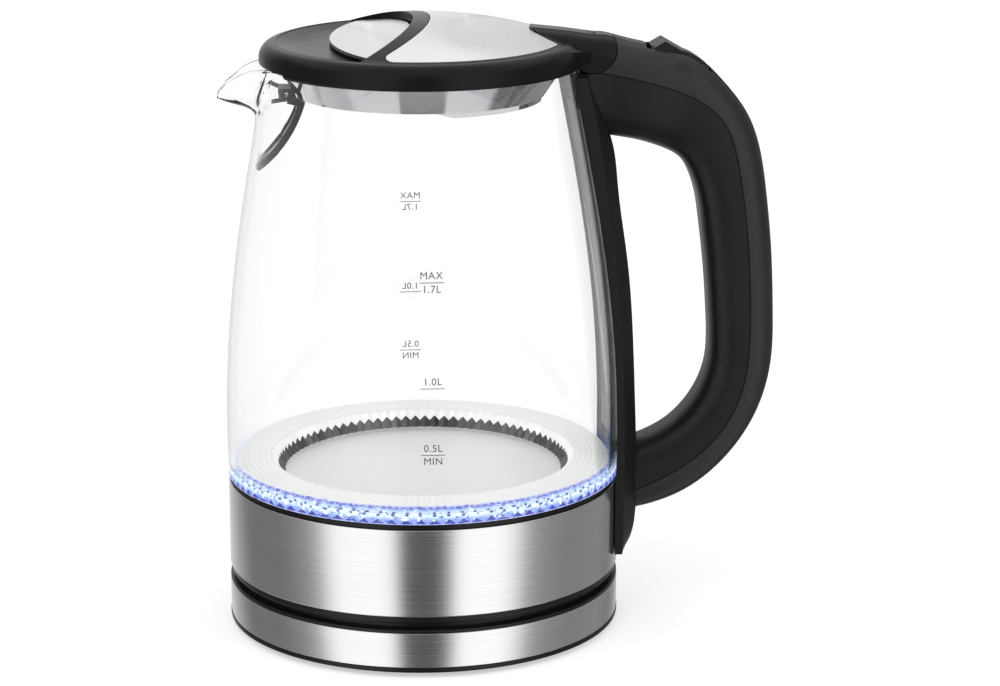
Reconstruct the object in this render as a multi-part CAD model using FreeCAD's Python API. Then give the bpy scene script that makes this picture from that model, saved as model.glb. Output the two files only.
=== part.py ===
import FreeCAD, Part
import math
import os

# Electric kettle with a glass jug, a steel banded foot and a cordless power base.
# Frame: the origin is on the axis of the jug at table level, +Z is up,
# the handle points along +X and the spout along -X. Millimetres.

V = FreeCAD.Vector
UP = V(0, 0, 1)
EAST = V(1, 0, 0)
NORTH = V(0, 1, 0)
os.makedirs("parts", exist_ok=True)

# ---------------------------------------------------------------- driving sizes
# general
fit_gap = 0.3                 # between pieces that move past each other
pin_play = 0.05               # radial play of a turning pin
seat_gap = 0.1                # between fixed neighbours
screw_play = 0.2              # radial room round screws and their heads
edge_break = 0.5              # small chamfer on rims
over_all = 300.0              # above and beyond every piece, for cutting tools
band_radius = 80.0            # outside of both steel bands
band_sheet = 0.8              # steel of both bands
screw_radius = 1.5
screw_head_radius = 2.8
screw_head_height = 1.6

# power base
foot_height = 2.0
foot_radius = 7.0
foot_inset = 18.0             # circle of the feet inside the band
foot_count = 4                # on the circle, with one more in the middle
foot_turn = 45.0
base_lip_height = 2.0         # black rim under the base band
base_band_height = 14.3
base_top_lip = 1.4            # black rim over the base band
base_deck_step = 2.3          # raised deck inside the top rim
base_deck_inset = 3.5
base_skin = 2.0
base_screw_circle = 48.0
base_screw_count = 3
base_screw_turn = 30.0        # angle of the first screw
base_boss_radius = 4.0
base_screw_length = 12.0
base_lip_overhang = 0.2       # of the black rim over the band
base_plate_rim = (1.5, 1.0)   # width and height of the raised rim of the bottom plate

# cordless connector
plug_radius = 15.0
plug_height = 11.0            # above the deck
plug_flange_radius = 19.0
plug_housing_depth = 12.0
ring_contact_radius = 8.6
contact_wall = 1.2
contact_groove = 3.0
pin_hole_radius = 2.4
contact_depth = 1.0           # top of the contacts below the top of the plug
contact_pin_radius = 0.8
contact_blade = 0.6
contact_foot = 3.0            # foot of the jug's contacts above the deck
socket_wall = 6.1
socket_roof = 2.0
socket_lift = 0.9             # underside of the socket above the deck

# cord gland, for a cord of 7 mm
gland_bore_radius = 3.5
gland_radius = 5.0
gland_length = 9.0

# foot of the jug
jug_rim_height = 2.8          # black rim under the jug band
jug_band_height = 35.7
jug_floor_skin = 2.0
chassis_wall = 2.2
chassis_deck = 1.4
chassis_ledge = 22.5          # inside the band
cover_screw_inset = 18.0
cover_screw_count = 3
cover_screw_turn = 90.0
cover_screw_length = 9.0
cover_inset = 0.6             # of the foot's lower rim behind the band
cover_collar = 1.8            # wall of the well round the socket
socket_float = 0.6            # room round the socket, which floats in the foot
gasket_inset = 1.0
board_sheet = 1.6
gasket_height = 2.4
gasket_width = 4.2

# heated floor
plate_inset = 14.0            # inside the band
plate_sheet = 1.2
spreader_inset = 7.5          # inside the ledge of the chassis
spreader_height = 2.0
element_inset = 10.0          # inside the spreader
element_tube = 3.75
element_sweep = 300.0
element_tail = 9.0
element_lead = 1.9            # radius of the tails
control_radius = 20.0
control_height = 8.5
control_ear_circle = 22.5
control_ear_count = 3
control_ear_turn = 60.0
control_ear_radius = 4.0
control_bar = (26.0, 11.0)    # half length and half width of the bar that carries the discs
control_step = 3.0
control_bar_rise = 4.0
control_gap = 0.6             # over the socket
disc_x = 10.0
disc_radius = 6.0
disc_height = 0.8

# light guide and lamps
guide_height = 6.8            # above the floor plate
guide_top_width = 4.0         # over the heated floor
guide_foot_width = 10.0
lamp_count = 12
lamp_turn = 15.0
lamp_inset = 8.6              # inside the band
lamp_room = 2.4               # radius of the hole for a lamp
lamp_size = 3.0
seal_width = 2.4

# glass
glass_wall = 3.0
# outline of the jug: distance beyond the outside of the band, height over the foot of the glass
glass_profile = [(0.1, 0.0), (0.2, 28.8), (-2.2, 68.8), (-7.4, 108.8), (-14.4, 148.8), (-18.0, 168.4)]
# spout stations: distance beyond the rim, half width, depth of the channel's underside below the rim
spout_profile = [(-10.0, 25.0, 40.0), (-4.0, 20.5, 31.0), (2.0, 15.5, 21.5), (6.3, 12.4, 18.0),
                 (11.9, 8.4, 16.2), (16.4, 5.4, 14.8), (19.4, 3.2, 13.6)]
spout_wall = 2.4
spout_tip_wall = 1.6
spout_top = 6.0               # height above the rim to which the spout is drawn before it is trimmed
# lip of the spout seen from the side: distance beyond the rim, depth below the rim
lip_profile = [(19.4, 12.4), (17.3, 9.4), (13.6, 6.6), (10.0, 3.9), (4.0, 1.6), (-5.0, 0.0)]

# handle: inner and outer point of each section in the plane of symmetry, measured
# from the outside of the band and from the foot of the glass
grip_half_width = 14.4
head_half_width = 15.2
grip_profile = [((-22.0, 140.8), (-22.0, 181.0)), ((-10.0, 139.3), (-10.0, 179.2)),
                ((-1.0, 137.7), (-1.0, 177.7)), ((8.6, 135.7), (13.0, 174.4)),
                ((18.4, 132.2), (28.0, 171.1)), ((25.0, 127.7), (41.0, 160.2)),
                ((29.9, 118.3), (52.5, 144.3)), ((33.0, 103.2), (59.9, 113.8)),
                ((35.4, 83.1), (62.6, 87.6)), ((36.9, 62.8), (63.7, 62.8)),
                ((36.6, 42.4), (62.9, 40.8)), ((32.5, 30.6), (58.5, 24.3)),
                ((25.5, 21.0), (47.8, 6.0)), ((16.6, 14.2), (28.0, -11.2)),
                ((8.5, 10.6), (11.5, -17.4)), ((2.0, 8.8), (2.0, -19.7))]
lid_nose_profile = ((-37.0, 140.8), (-37.0, 182.7))   # front end of the same shape on the lid
head_section_count = 4        # sections from the lid end that have the head's width
hollow_first_section = 2      # the handle is hollow from here on
grip_wall = 3.0
section_power = 0.62          # 1 gives an ellipse, less gives squarer sections
section_points = 28
section_pull = 2.7            # tangent length at the poles of a section, in half widths
# line where the two halves of the handle meet
seam_profile = [(-18.0, 166.3), (-0.2, 163.5), (12.8, 160.2), (29.1, 153.9), (40.5, 144.3), (46.8, 126.8),
                (51.2, 94.8), (52.8, 59.8), (49.5, 31.3), (39.5, 13.0), (24.9, 0.6), (0.0, -10.7)]
seam_groove = 0.6
# handle strip: height over the foot of the glass, edge of its side face and back face beyond the band
strip_profile = [(-33.6, 0.4, 1.9), (-29.4, 0.6, 4.4), (-20.0, 0.7, 6.5), (11.8, 1.0, 6.8),
                 (48.3, 0.0, 5.4), (88.8, -2.9, 2.4), (118.8, -7.2, -1.7), (136.8, -9.8, -4.1),
                 (148.8, -11.8, -8.5), (159.8, -14.4, -12.8), (164.4, -15.1, -13.5)]
strip_half_width = 22.0
strip_back_half_width = 13.0
strip_depth = 14.0            # from the side edge inwards, before the glass is cut away
handle_screw_rises = (13.9, 25.9)   # over the lower edge of the jug band
handle_screw_reach = 5.0      # into the strip
bond_gap = 0.5
bond_half_width = 15.0
bond_rise = (12.8, 150.8)     # over the foot of the glass

# lid hinge
hinge_reach = 5.6             # beyond the rim of the glass
hinge_rise = 6.6              # over the rim
knuckle_radius = 9.8
knuckle_gap = 0.35
hinge_pin_radius = 1.5
hinge_pin_length = 26.0
tongue_half_width = 5.0
tongue_radius = 4.4
tongue_web = (3.5, 3.0)       # in front of and behind the pin
tongue_root = 4.0             # depth of the web below the knuckle
tongue_sweep_steps = 5
tongue_overswing = 3.0
lid_open_angle = 75.0
notch_half_width = 16.0

# power switch on the handle head
rocker_half_width = 8.0
rocker_reach = (24.4, 47.4)   # front and back end, measured from the hinge
rocker_depth = 4.0
slot_depth = 9.6              # the slot for the rocker goes this far below the rim
# nose of the rocker: distance from the hinge, height over the rim
nose_profile = [(24.4, 2.4), (24.4, 5.0), (29.8, 8.1), (45.4, -1.0), (36.4, -1.6)]
pivot_place = (35.9, -3.4)
rocker_front_room = 2.0       # between the rocker and the head, so that it can tilt
rocker_back_room = 1.2
rocker_side_room = 0.4
rocker_barrel = 3.2
rocker_stem_half = (2.0, 4.0)
rocker_stem_depth = 12.1      # below the rim
rocker_lug_radius = 3.6
switch_pin_reach = 3.5        # of the pin into each lug
steam_disc_radius = 6.0
steam_duct_radius = 2.5
steam_duct_y = 9.0
steam_duct_drop = 1.1         # below the rim
switch_pin_radius = 1.2
switch_box_size = (20.0, 14.0, 12.0)
switch_box_place = (18.4, -7.0, -25.1)   # from the hinge and the rim

# lid
lid_overhang = 2.6            # of the lid beyond the rim of the glass
lid_rise = 18.4               # top of the lid over the rim
lid_edge_rise = 8.7           # edge of the dome over the rim
lid_edge_inset = 6.2          # from the outside of the lid
lid_shoulder = 6.0
skirt_overlap = 0.8           # of the skirt below the rim
skirt_gap = 0.9               # between the skirt and the glass
skirt_taper = (0.6, 1.0)
cone_top_inset = 2.0          # inside the rim
cone_top_rise = 1.3
cone_foot_inset = 5.5
cone_foot_drop = 1.8
lid_skin = 2.5
hollow_inset = 3.0
hollow_end_inset = 19.6       # the hollow stops in front of the hinge
spout_room = (12.0, 33.0)     # of the skirt over the spout: distance inside the rim, half width
# side wings between the lid and its knuckle: distance from the hinge, half width
wing_profile = [(-27.6, 32.0), (-10.6, 26.5), (-5.6, 20.0), (-0.6, 14.5)]
wing_rise = 0.9               # over the rim of the glass
wing_height = 10.0
scoop_lip = 0.6               # inside the edge of the dome
scoop_depth = 1.5             # below the edge of the dome
scoop_draft = 9.0
strap_centre = 67.5           # distance in front of the axis
strap_outer_radius = 71.3
scoop_centre = 72.3
strap_inner_radius = 69.2
inlay_sheet = 0.8
inlay_gap = 0.3
inlay_inset = 1.9             # inside the edge of the dome
inlay_back_inset = 1.1        # centre of the hollow back edge in front of the hinge
inlay_back_radius = 23.0
inlay_corners = (4.0, 2.0)    # radius of the corners at the strap and at the back
pan_inset = 0.3               # inside the foot of the cone
pan_slope = 6.0               # the pan's foot is smaller by this
pan_depth = 12.0              # below the rim
pan_sheet = 0.8
seal_gap = 0.5                # between the seal and the glass
seal_height = 1.6
seal_bite = 0.5               # of the seal behind the edge of the cone
pan_flange = 5.0
pan_joggle = 0.7
lid_screw_count = 3
lid_screw_turn = 60.0
lid_screw_inset = 4.3
lid_screw_radius = 0.9
lid_screw_head = (1.7, 0.9)   # radius and height
lid_screw_lug = 3.2
sump_start = 2.0              # the sump begins here and fills the handle side of the pan
sump_ramp = 8.0
sump_depth = 2.2
sump_inset = 1.6              # inside the foot of the pan
steam_hole_radius = 1.8
steam_hole_inset = 10.0       # inside the foot of the pan
steam_hole_angles = (-40, -20, 0, 20, 40)

# release lever and latch
leaf_sheet = 1.2
leaf_dome_radius = 500.0
leaf_dome_x = 58.5
leaf_station = -20.0
leaf_drop = 6.1               # of the leaf below the top of the lid, at that station
leaf_gap = 1.1
leaf_front_half_chord = 44.5
leaf_front_x = 36.2
leaf_end_x = 24.5
leaf_tip_inset = 4.8          # inside the scoop
lever_x = -6.5
lever_drop = 1.8              # of the pin below the leaf's height
lever_pin_radius = 1.2
lever_pin_length = 24.0
lever_arm_drop = 0.6          # foot of the arm below the rim
spring_radius = 1.75
spring_wire_radius = 0.25
spring_pitch = 0.62
spring_turns = 3
spring_y = 4.6
latch_rise = 1.2              # over the underside of the pan
latch_thick = 1.6
latch_half_width = 6.0
latch_guide_gap = 0.3         # round the latch in the window of the pan
latch_hook_drop = 3.6
latch_hook_sheet = 2.0
latch_hook_nose = 2.8
latch_hook_lip = 1.2
latch_post_depth = 4.4
lever_to_latch = 0.4
ear_half_width = 1.2
ear_y = 10.6
ear_root = 3.0
ear_top = 1.8                 # half width of the ear at its top
ear_rise = 1.6                # above the axis of the pin
lug_half_width = 1.0
lug_y = 8.0
arm_half = (2.0, 4.0)         # half sizes of the lever's arm along X and Y
arm_slot = (5.4, 2.8, 4.6)    # room for the arm in front, behind and at its sides

# spout filter
filter_half_width = 11.0
filter_wall = 2.6
# arc of the filter: distance beyond the rim, depth below the rim
filter_profile = [(-14.4, 14.0), (-8.0, 28.0), (3.2, 40.4)]
mesh_sheet = 0.5
filter_border = 2.2           # of the frame at both sides of the mesh
filter_sill = 3.1             # of the frame over and under the mesh
catch_bar = (3.3, 5.1)        # far and near side of the bar, measured back from the hook's tip
catch_bar_height = 1.5
catch_gap = 0.5               # under the latch
filter_arm_tip = 19.5
filter_arm_inset = (3.8, 2.6)   # inside the rim

# ---------------------------------------------------------------- levels and fits
base_band_low = foot_height + base_lip_height
base_band_high = base_band_low + base_band_height
base_lip_high = base_band_high + base_top_lip
deck_top = base_lip_high + base_deck_step
jug_low = deck_top + fit_gap
jug_band_low = jug_low + jug_rim_height
jug_band_high = jug_band_low + jug_band_height
glass_low = jug_band_high + gasket_height
glass_outline = [(band_radius + out, height) for out, height in glass_profile]
rim_radius = glass_outline[-1][0]
rim_height = glass_low + glass_outline[-1][1]
spout_stations = [(rim_radius + out, half, depth) for out, half, depth in spout_profile]
spout_lip = [(rim_radius + out, depth) for out, depth in lip_profile]
base_deck_radius = band_radius - base_deck_inset
foot_circle = band_radius - foot_inset
cover_screw_circle = band_radius - cover_screw_inset
chassis_inner_radius = band_radius - chassis_ledge
plate_radius = band_radius - plate_inset
spreader_radius = chassis_inner_radius - spreader_inset
element_circle = spreader_radius - element_inset
lamp_circle = band_radius - lamp_inset
guide_top_inner = plate_radius - guide_top_width
guide_foot_inner = plate_radius - guide_foot_width
plate_top = glass_low - seat_gap
plate_low = plate_top - plate_sheet
guide_low = plate_top + seat_gap
spreader_low = plate_low - spreader_height
band_inner = band_radius - band_sheet
liner_radius = band_inner - seat_gap
plug_top = deck_top + plug_height
socket_inner = plug_radius + fit_gap + seat_gap
socket_outer = socket_inner + socket_wall
socket_low = deck_top + socket_lift
socket_top = plug_top + contact_depth + socket_roof
gland_height = (base_band_low + base_band_high) / 2
handle_screw_levels = [jug_band_low + rise for rise in handle_screw_rises]
bond_low, bond_high = [glass_low + rise for rise in bond_rise]
hinge_x = rim_radius + hinge_reach
hinge_z = rim_height + hinge_rise
hinge_point = V(hinge_x, 0, hinge_z)
rocker_front, rocker_back = [hinge_x + reach for reach in rocker_reach]
rocker_nose = [(hinge_x + out, rim_height + rise) for out, rise in nose_profile]
rocker_pivot = (hinge_x + pivot_place[0], rim_height + pivot_place[1])
rocker_stem_foot = rim_height - rocker_stem_depth
slot_floor = rim_height - slot_depth
steam_duct_z = rim_height - steam_duct_drop
switch_box_corner = (hinge_x + switch_box_place[0], switch_box_place[1], rim_height + switch_box_place[2])
lid_radius = rim_radius + lid_overhang
lid_top = rim_height + lid_rise
lid_edge_height = rim_height + lid_edge_rise
lid_edge_radius = lid_radius - lid_edge_inset
skirt_low = rim_height - skirt_overlap
skirt_inner = rim_radius + skirt_gap
cone_top_radius = rim_radius - cone_top_inset
cone_top = rim_height + cone_top_rise
cone_foot_radius = rim_radius - cone_foot_inset
cone_foot = rim_height - cone_foot_drop
wing_outline = [(hinge_x + out, half) for out, half in wing_profile]
scoop_radius = lid_edge_radius - scoop_lip
scoop_floor = lid_edge_height - scoop_depth
inlay_radius = lid_edge_radius - inlay_inset
inlay_back_centre = hinge_x - inlay_back_inset
pan_top_radius = cone_foot_radius - pan_inset
pan_foot_radius = pan_top_radius - pan_slope
pan_foot = rim_height - pan_depth
seal_radius = rim_radius - glass_wall - seal_gap
steam_hole_circle = pan_foot_radius - steam_hole_inset
leaf_dome_height = lid_top - leaf_drop
leaf_tip_radius = scoop_radius - leaf_tip_inset
lever_z = leaf_dome_height - lever_drop
lever_arm_foot = rim_height - lever_arm_drop
latch_low = pan_foot + latch_rise
latch_tip = cone_foot_radius
filter_arc = [(-rim_radius - out, rim_height - depth) for out, depth in filter_profile]
filter_arm_reach = [rim_radius - inset for inset in filter_arm_inset]


def placed(points):
    """Points measured from the outside of the band and from the foot of the glass."""
    return [(band_radius + out, glass_low + rise) for out, rise in points]


grip_sections = [placed(pair) for pair in grip_profile]
lid_nose_section = placed(lid_nose_profile)
seam_line = placed(seam_profile)
strip_sections = [(glass_low + rise, band_radius + side, band_radius + back)
                  for rise, side, back in strip_profile]


# ---------------------------------------------------------------- helpers
def save(name, shape):
    shape.exportStep("parts/" + name + ".step")


def turned(outline):
    """Solid of revolution about Z from a closed list of (radius, height)."""
    points = [V(r, 0, z) for r, z in outline]
    wire = Part.makePolygon(points + [points[0]])
    return Part.Face(wire).revolve(V(0, 0, 0), UP, 360)


def disc(radius, low, high, x=0.0, y=0.0):
    return Part.makeCylinder(radius, high - low, V(x, y, low), UP)


def tube(inner, outer, low, high):
    return disc(outer, low, high).cut(disc(inner, low - 1, high + 1))


def rod(radius, start, end):
    line = end - start
    return Part.makeCylinder(radius, line.Length, start, line)


def cross_rod(radius, x, z, half_length):
    """Rod along Y through (x, z)."""
    return rod(radius, V(x, -half_length, z), V(x, half_length, z))


def block(x0, x1, y0, y1, z0, z1):
    return Part.makeBox(x1 - x0, y1 - y0, z1 - z0, V(x0, y0, z0))


def slab(profile, half_width, offset=0.0):
    """Closed side profile of (x, z) points, made into a solid across Y."""
    points = [V(x, offset - half_width, z) for x, z in profile]
    face = Part.Face(Part.makePolygon(points + [points[0]]))
    return face.extrude(V(0, 2 * half_width, 0))


def spline(points):
    curve = Part.BSplineCurve()
    curve.interpolate(points)
    return curve.toShape()


def around(radius, count, start=0.0):
    """Positions evenly spaced on a circle."""
    turns = [math.radians(start + 360.0 * i / count) for i in range(count)]
    return [(radius * math.cos(t), radius * math.sin(t)) for t in turns]


def upward_screw(x, y, low, length):
    head = disc(screw_head_radius, low, low + screw_head_height, x, y)
    return head.fuse(disc(screw_radius, low, low + length, x, y))


# ---------------------------------------------------------------- glass shape
def glass_solid(shift):
    """Solid inside the glass outline, moved outwards by shift."""
    points = [V(r + shift, 0, glass_low + h) for r, h in glass_outline]
    low = V(0, 0, points[0].z)
    high = V(0, 0, points[-1].z)
    edges = [spline(points), Part.makeLine(points[-1], high), Part.makeLine(high, low),
             Part.makeLine(low, points[0])]
    return Part.Face(Part.Wire(edges)).revolve(V(0, 0, 0), UP, 360)


def spout_section(reach, half_width, low, top):
    points = []
    for i in range(13):
        turn = math.pi * i / 12
        z = top - (top - low) * math.sin(turn)
        points.append(V(-reach, half_width * math.cos(turn), z))
    return Part.Wire([spline(points), Part.makeLine(points[-1], points[0])])


def spout_solid(inset, shorten):
    top = rim_height + spout_top
    wires = []
    for reach, half_width, depth in spout_stations:
        wires.append(spout_section(reach - shorten, half_width - inset, rim_height - depth + inset, top))
    return Part.makeLoft(wires, True, False)


def spout_trim():
    """Everything above the rim and the lip of the spout."""
    side = band_radius
    points = [V(-reach, -side, rim_height - depth) for reach, depth in spout_lip]
    corners = [V(0, -side, rim_height), V(0, -side, over_all), V(-over_all, -side, over_all),
               V(-over_all, -side, points[0].z)]
    edges = [spline(points), Part.makePolygon([points[-1]] + corners + [points[0]])]
    return Part.Face(Part.Wire(edges)).extrude(V(0, 2 * side, 0))


def make_glass():
    bulk = glass_solid(0).fuse(spout_solid(0, 0))
    room = glass_solid(-glass_wall).fuse(spout_solid(spout_wall, spout_tip_wall))
    notch_floor = hinge_z - knuckle_radius - knuckle_gap
    slot = block(0, over_all, -notch_half_width, notch_half_width, notch_floor, over_all)
    return bulk.cut(room).cut(spout_trim()).cut(slot)


# ---------------------------------------------------------------- power base
def make_base():
    wall = liner_radius
    inner_wall = wall - base_skin - screw_play
    ceiling = deck_top - base_skin
    lip = band_radius + base_lip_overhang
    flange_seat = plug_flange_radius + seat_gap
    shell = turned([(flange_seat, ceiling), (flange_seat, deck_top), (base_deck_radius, deck_top),
                    (base_deck_radius, base_lip_high), (band_radius - edge_break, base_lip_high),
                    (band_radius, base_lip_high - edge_break), (band_radius, base_band_high),
                    (wall, base_band_high), (wall, base_band_low), (lip, base_band_low),
                    (lip, foot_height + edge_break), (lip - edge_break, foot_height),
                    (inner_wall, foot_height), (inner_wall, ceiling)])
    plate_high = foot_height + base_skin
    plate_edge = inner_wall - fit_gap
    rim_width, rim_rise = base_plate_rim
    plate = turned([(0, foot_height), (plate_edge - edge_break, foot_height),
                    (plate_edge, foot_height + edge_break), (plate_edge, plate_high + rim_rise),
                    (plate_edge - rim_width, plate_high + rim_rise), (plate_edge - rim_width, plate_high),
                    (0, plate_high)])
    screws = []
    for x, y in around(base_screw_circle, base_screw_count, base_screw_turn):
        boss = disc(base_boss_radius, plate_high + seat_gap, ceiling, x, y)
        shell = shell.fuse(boss).cut(disc(screw_radius, 0, foot_height + base_screw_length, x, y))
        seat = disc(screw_head_radius + screw_play, 0, foot_height + screw_head_height, x, y)
        plate = plate.cut(seat).cut(disc(screw_radius + screw_play, 0, deck_top, x, y))
        screws.append(upward_screw(x, y, foot_height, base_screw_length))
    housing_low = deck_top - plug_housing_depth
    plug = disc(plug_radius, housing_low, plug_top)
    plug = plug.fuse(disc(plug_flange_radius, deck_top - base_skin, deck_top))
    groove_in = ring_contact_radius - contact_groove / 2
    groove_out = ring_contact_radius + contact_groove / 2
    plug = plug.cut(tube(groove_in, groove_out, deck_top, over_all))
    plug = plug.cut(disc(pin_hole_radius, deck_top, over_all))
    plug = plug.makeChamfer(edge_break, [e for e in plug.Edges if abs(e.BoundBox.ZMin - plug_top) < seat_gap
                                         and e.BoundBox.XLength > plug_radius + groove_out])
    ring_out = groove_out - seat_gap
    contact_high = plug_top - contact_depth
    rings = tube(ring_out - contact_wall, ring_out, deck_top, contact_high)
    sleeve = tube(contact_wall, pin_hole_radius - seat_gap, deck_top, contact_high)
    contacts = Part.makeCompound([rings, sleeve])
    foot_places = [(0, 0)] + around(foot_circle, foot_count, foot_turn)
    feet = [disc(foot_radius, 0, foot_height, x, y) for x, y in foot_places]
    band = tube(band_inner, band_radius, base_band_low, base_band_high)
    gland = rod(gland_radius, V(0, band_radius - gland_length, gland_height), V(0, band_radius, gland_height))
    gland_start = V(0, base_deck_radius - gland_length, gland_height)
    gland_end = V(0, over_all, gland_height)
    opening = rod(gland_radius + seat_gap, gland_start, gland_end)
    bore = rod(gland_bore_radius, gland_start, gland_end)
    save("base_shell", shell.cut(opening))
    save("base_steel_band", band.cut(opening))
    save("base_bottom_plate", plate)
    save("base_feet", Part.makeCompound(feet))
    save("base_screws", Part.makeCompound(screws))
    save("base_connector", plug)
    save("base_contact_rings", contacts)
    save("cord_gland", gland.cut(bore))


# ---------------------------------------------------------------- jug side of the connector
def make_socket():
    ceiling = socket_top - socket_roof
    socket = disc(socket_outer, socket_low, socket_top).cut(disc(socket_inner, 0, ceiling))
    blade_in = ring_contact_radius - contact_groove / 2 + fit_gap
    contact_low = deck_top + contact_foot
    blade = tube(blade_in, blade_in + contact_blade, contact_low, ceiling)
    pin = disc(contact_pin_radius, contact_low, ceiling)
    save("jug_socket", socket)
    save("jug_socket_contacts", Part.makeCompound([blade, pin]))


# ---------------------------------------------------------------- foot of the jug
def make_jug_foot():
    well = socket_outer + socket_float
    floor_top = jug_low + jug_floor_skin
    rim = band_radius - cover_inset
    inner_wall = liner_radius - chassis_wall
    cover = turned([(well, jug_low), (rim - edge_break, jug_low), (rim, jug_low + edge_break),
                    (rim, jug_band_low), (inner_wall - edge_break, jug_band_low),
                    (inner_wall - edge_break, floor_top), (well + cover_collar, floor_top),
                    (well + cover_collar, socket_top), (well, socket_top)])
    deck_high = jug_band_high
    deck_low = deck_high - chassis_deck
    chassis = turned([(liner_radius, jug_band_low), (liner_radius, deck_high), (plate_radius, deck_high),
                      (plate_radius, plate_low), (chassis_inner_radius, plate_low),
                      (chassis_inner_radius, deck_low), (inner_wall, deck_low), (inner_wall, jug_band_low)])
    screws = []
    for x, y in around(cover_screw_circle, cover_screw_count, cover_screw_turn):
        boss = disc(base_boss_radius, floor_top + seat_gap, deck_low, x, y)
        chassis = chassis.fuse(boss).cut(disc(screw_radius, 0, jug_low + cover_screw_length, x, y))
        cover = cover.cut(disc(screw_head_radius + screw_play, 0, jug_low + screw_head_height, x, y))
        cover = cover.cut(disc(screw_radius + screw_play, 0, jug_band_low, x, y))
        screws.append(upward_screw(x, y, jug_low, cover_screw_length))
    lamps = []
    half = lamp_size / 2
    for x, y in around(lamp_circle, lamp_count, lamp_turn):
        chassis = chassis.cut(disc(lamp_room, deck_low - seat_gap, over_all, x, y))
        lamps.append(block(x - half, x + half, y - half, y + half, deck_low, deck_high - screw_play))
    board = tube(plate_radius + cover_collar, inner_wall - fit_gap, deck_low - board_sheet, deck_low)
    band = tube(band_inner, band_radius, jug_band_low, jug_band_high)
    gasket_out = band_radius - gasket_inset
    gasket_in = gasket_out - gasket_width
    gasket = tube(gasket_in, gasket_out, jug_band_high, glass_low)
    guide_foot_out = gasket_in - fit_gap
    guide_foot_in = plate_radius + seal_width
    guide_out = glass_outline[0][0] - glass_wall - fit_gap
    guide_top = plate_top + guide_height
    guide_seat = jug_band_high + seat_gap
    guide = turned([(guide_foot_in, guide_seat), (guide_foot_out, guide_seat),
                    (guide_foot_out, guide_low + seat_gap), (guide_out, guide_low + seat_gap),
                    (guide_out, guide_top - edge_break), (guide_out - edge_break, guide_top),
                    (guide_top_inner, guide_top), (guide_foot_inner, guide_low), (guide_foot_in, guide_low)])
    seal = tube(plate_radius + seat_gap, guide_foot_in - seat_gap, jug_band_high, plate_top)
    plate = disc(plate_radius, plate_low, plate_top)
    return {"jug_bottom_cover": cover, "jug_chassis": chassis,
            "bottom_cover_screws": Part.makeCompound(screws), "leds": Part.makeCompound(lamps),
            "led_board": board, "jug_steel_band": band, "jug_gasket": gasket,
            "light_guide_ring": guide, "plate_seal": seal, "heater_plate": plate}


def make_heater():
    spreader = disc(spreader_radius, spreader_low, plate_low)
    centre_z = spreader_low - element_tube
    start = math.radians((360 - element_sweep) / 2)
    first = V(element_circle * math.cos(start), element_circle * math.sin(start), centre_z)
    last = V(first.x, -first.y, centre_z)
    middle = V(-element_circle, 0, centre_z)
    path = Part.Wire([Part.Arc(first, middle, last).toShape()])
    tangent = V(-math.sin(start), math.cos(start), 0)
    section = Part.Wire([Part.makeCircle(element_tube, first, tangent)])
    element = path.makePipeShell([section], True, False)
    for end in (first, last):
        element = element.fuse(disc(element_lead, centre_z - element_tail, centre_z, end.x, end.y))
    control_low = socket_top + control_gap
    control_high = control_low + control_height
    ear_low = control_low + control_step
    bar_top = control_high + control_bar_rise
    bar_length, bar_width = control_bar
    control = disc(control_radius, control_low, control_high)
    control = control.fuse(block(-bar_length, bar_length, -bar_width, bar_width, ear_low, bar_top))
    screws = []
    for x, y in around(control_ear_circle, control_ear_count, control_ear_turn):
        control = control.fuse(disc(control_ear_radius, ear_low, control_high, x, y))
        control = control.cut(disc(screw_radius + screw_play, 0, over_all, x, y))
        control = control.cut(disc(screw_head_radius + screw_play, 0, ear_low + screw_head_height, x, y))
        screws.append(upward_screw(x, y, ear_low, spreader_low - ear_low))
    discs = [disc(disc_radius, bar_top, bar_top + disc_height, x, 0) for x in (-disc_x, disc_x)]
    save("heat_spreader", spreader)
    save("heating_element", element)
    save("thermostat_control", control)
    save("control_screws", Part.makeCompound(screws))
    save("dry_boil_discs", Part.makeCompound(discs))


# ---------------------------------------------------------------- spout filter
def curved_sheet(thickness, half_width):
    """Sheet bent along the filter's arc."""
    start, middle, end = [V(x, -half_width, z) for x, z in filter_arc]
    centre = Part.Circle(start, middle, end).Center
    arcs = []
    ends = []
    for shift in (-thickness / 2, thickness / 2):
        moved = [point + (point - centre).normalize() * shift for point in (start, middle, end)]
        arcs.append(Part.Arc(moved[0], moved[1], moved[2]).toShape())
        ends.append((moved[0], moved[2]))
    caps = [Part.makeLine(ends[0][i], ends[1][i]) for i in (0, 1)]
    wire = Part.Wire(Part.__sortEdges__([arcs[0], caps[1], arcs[1], caps[0]]))
    return Part.Face(wire).extrude(V(0, 2 * half_width, 0))


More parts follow.
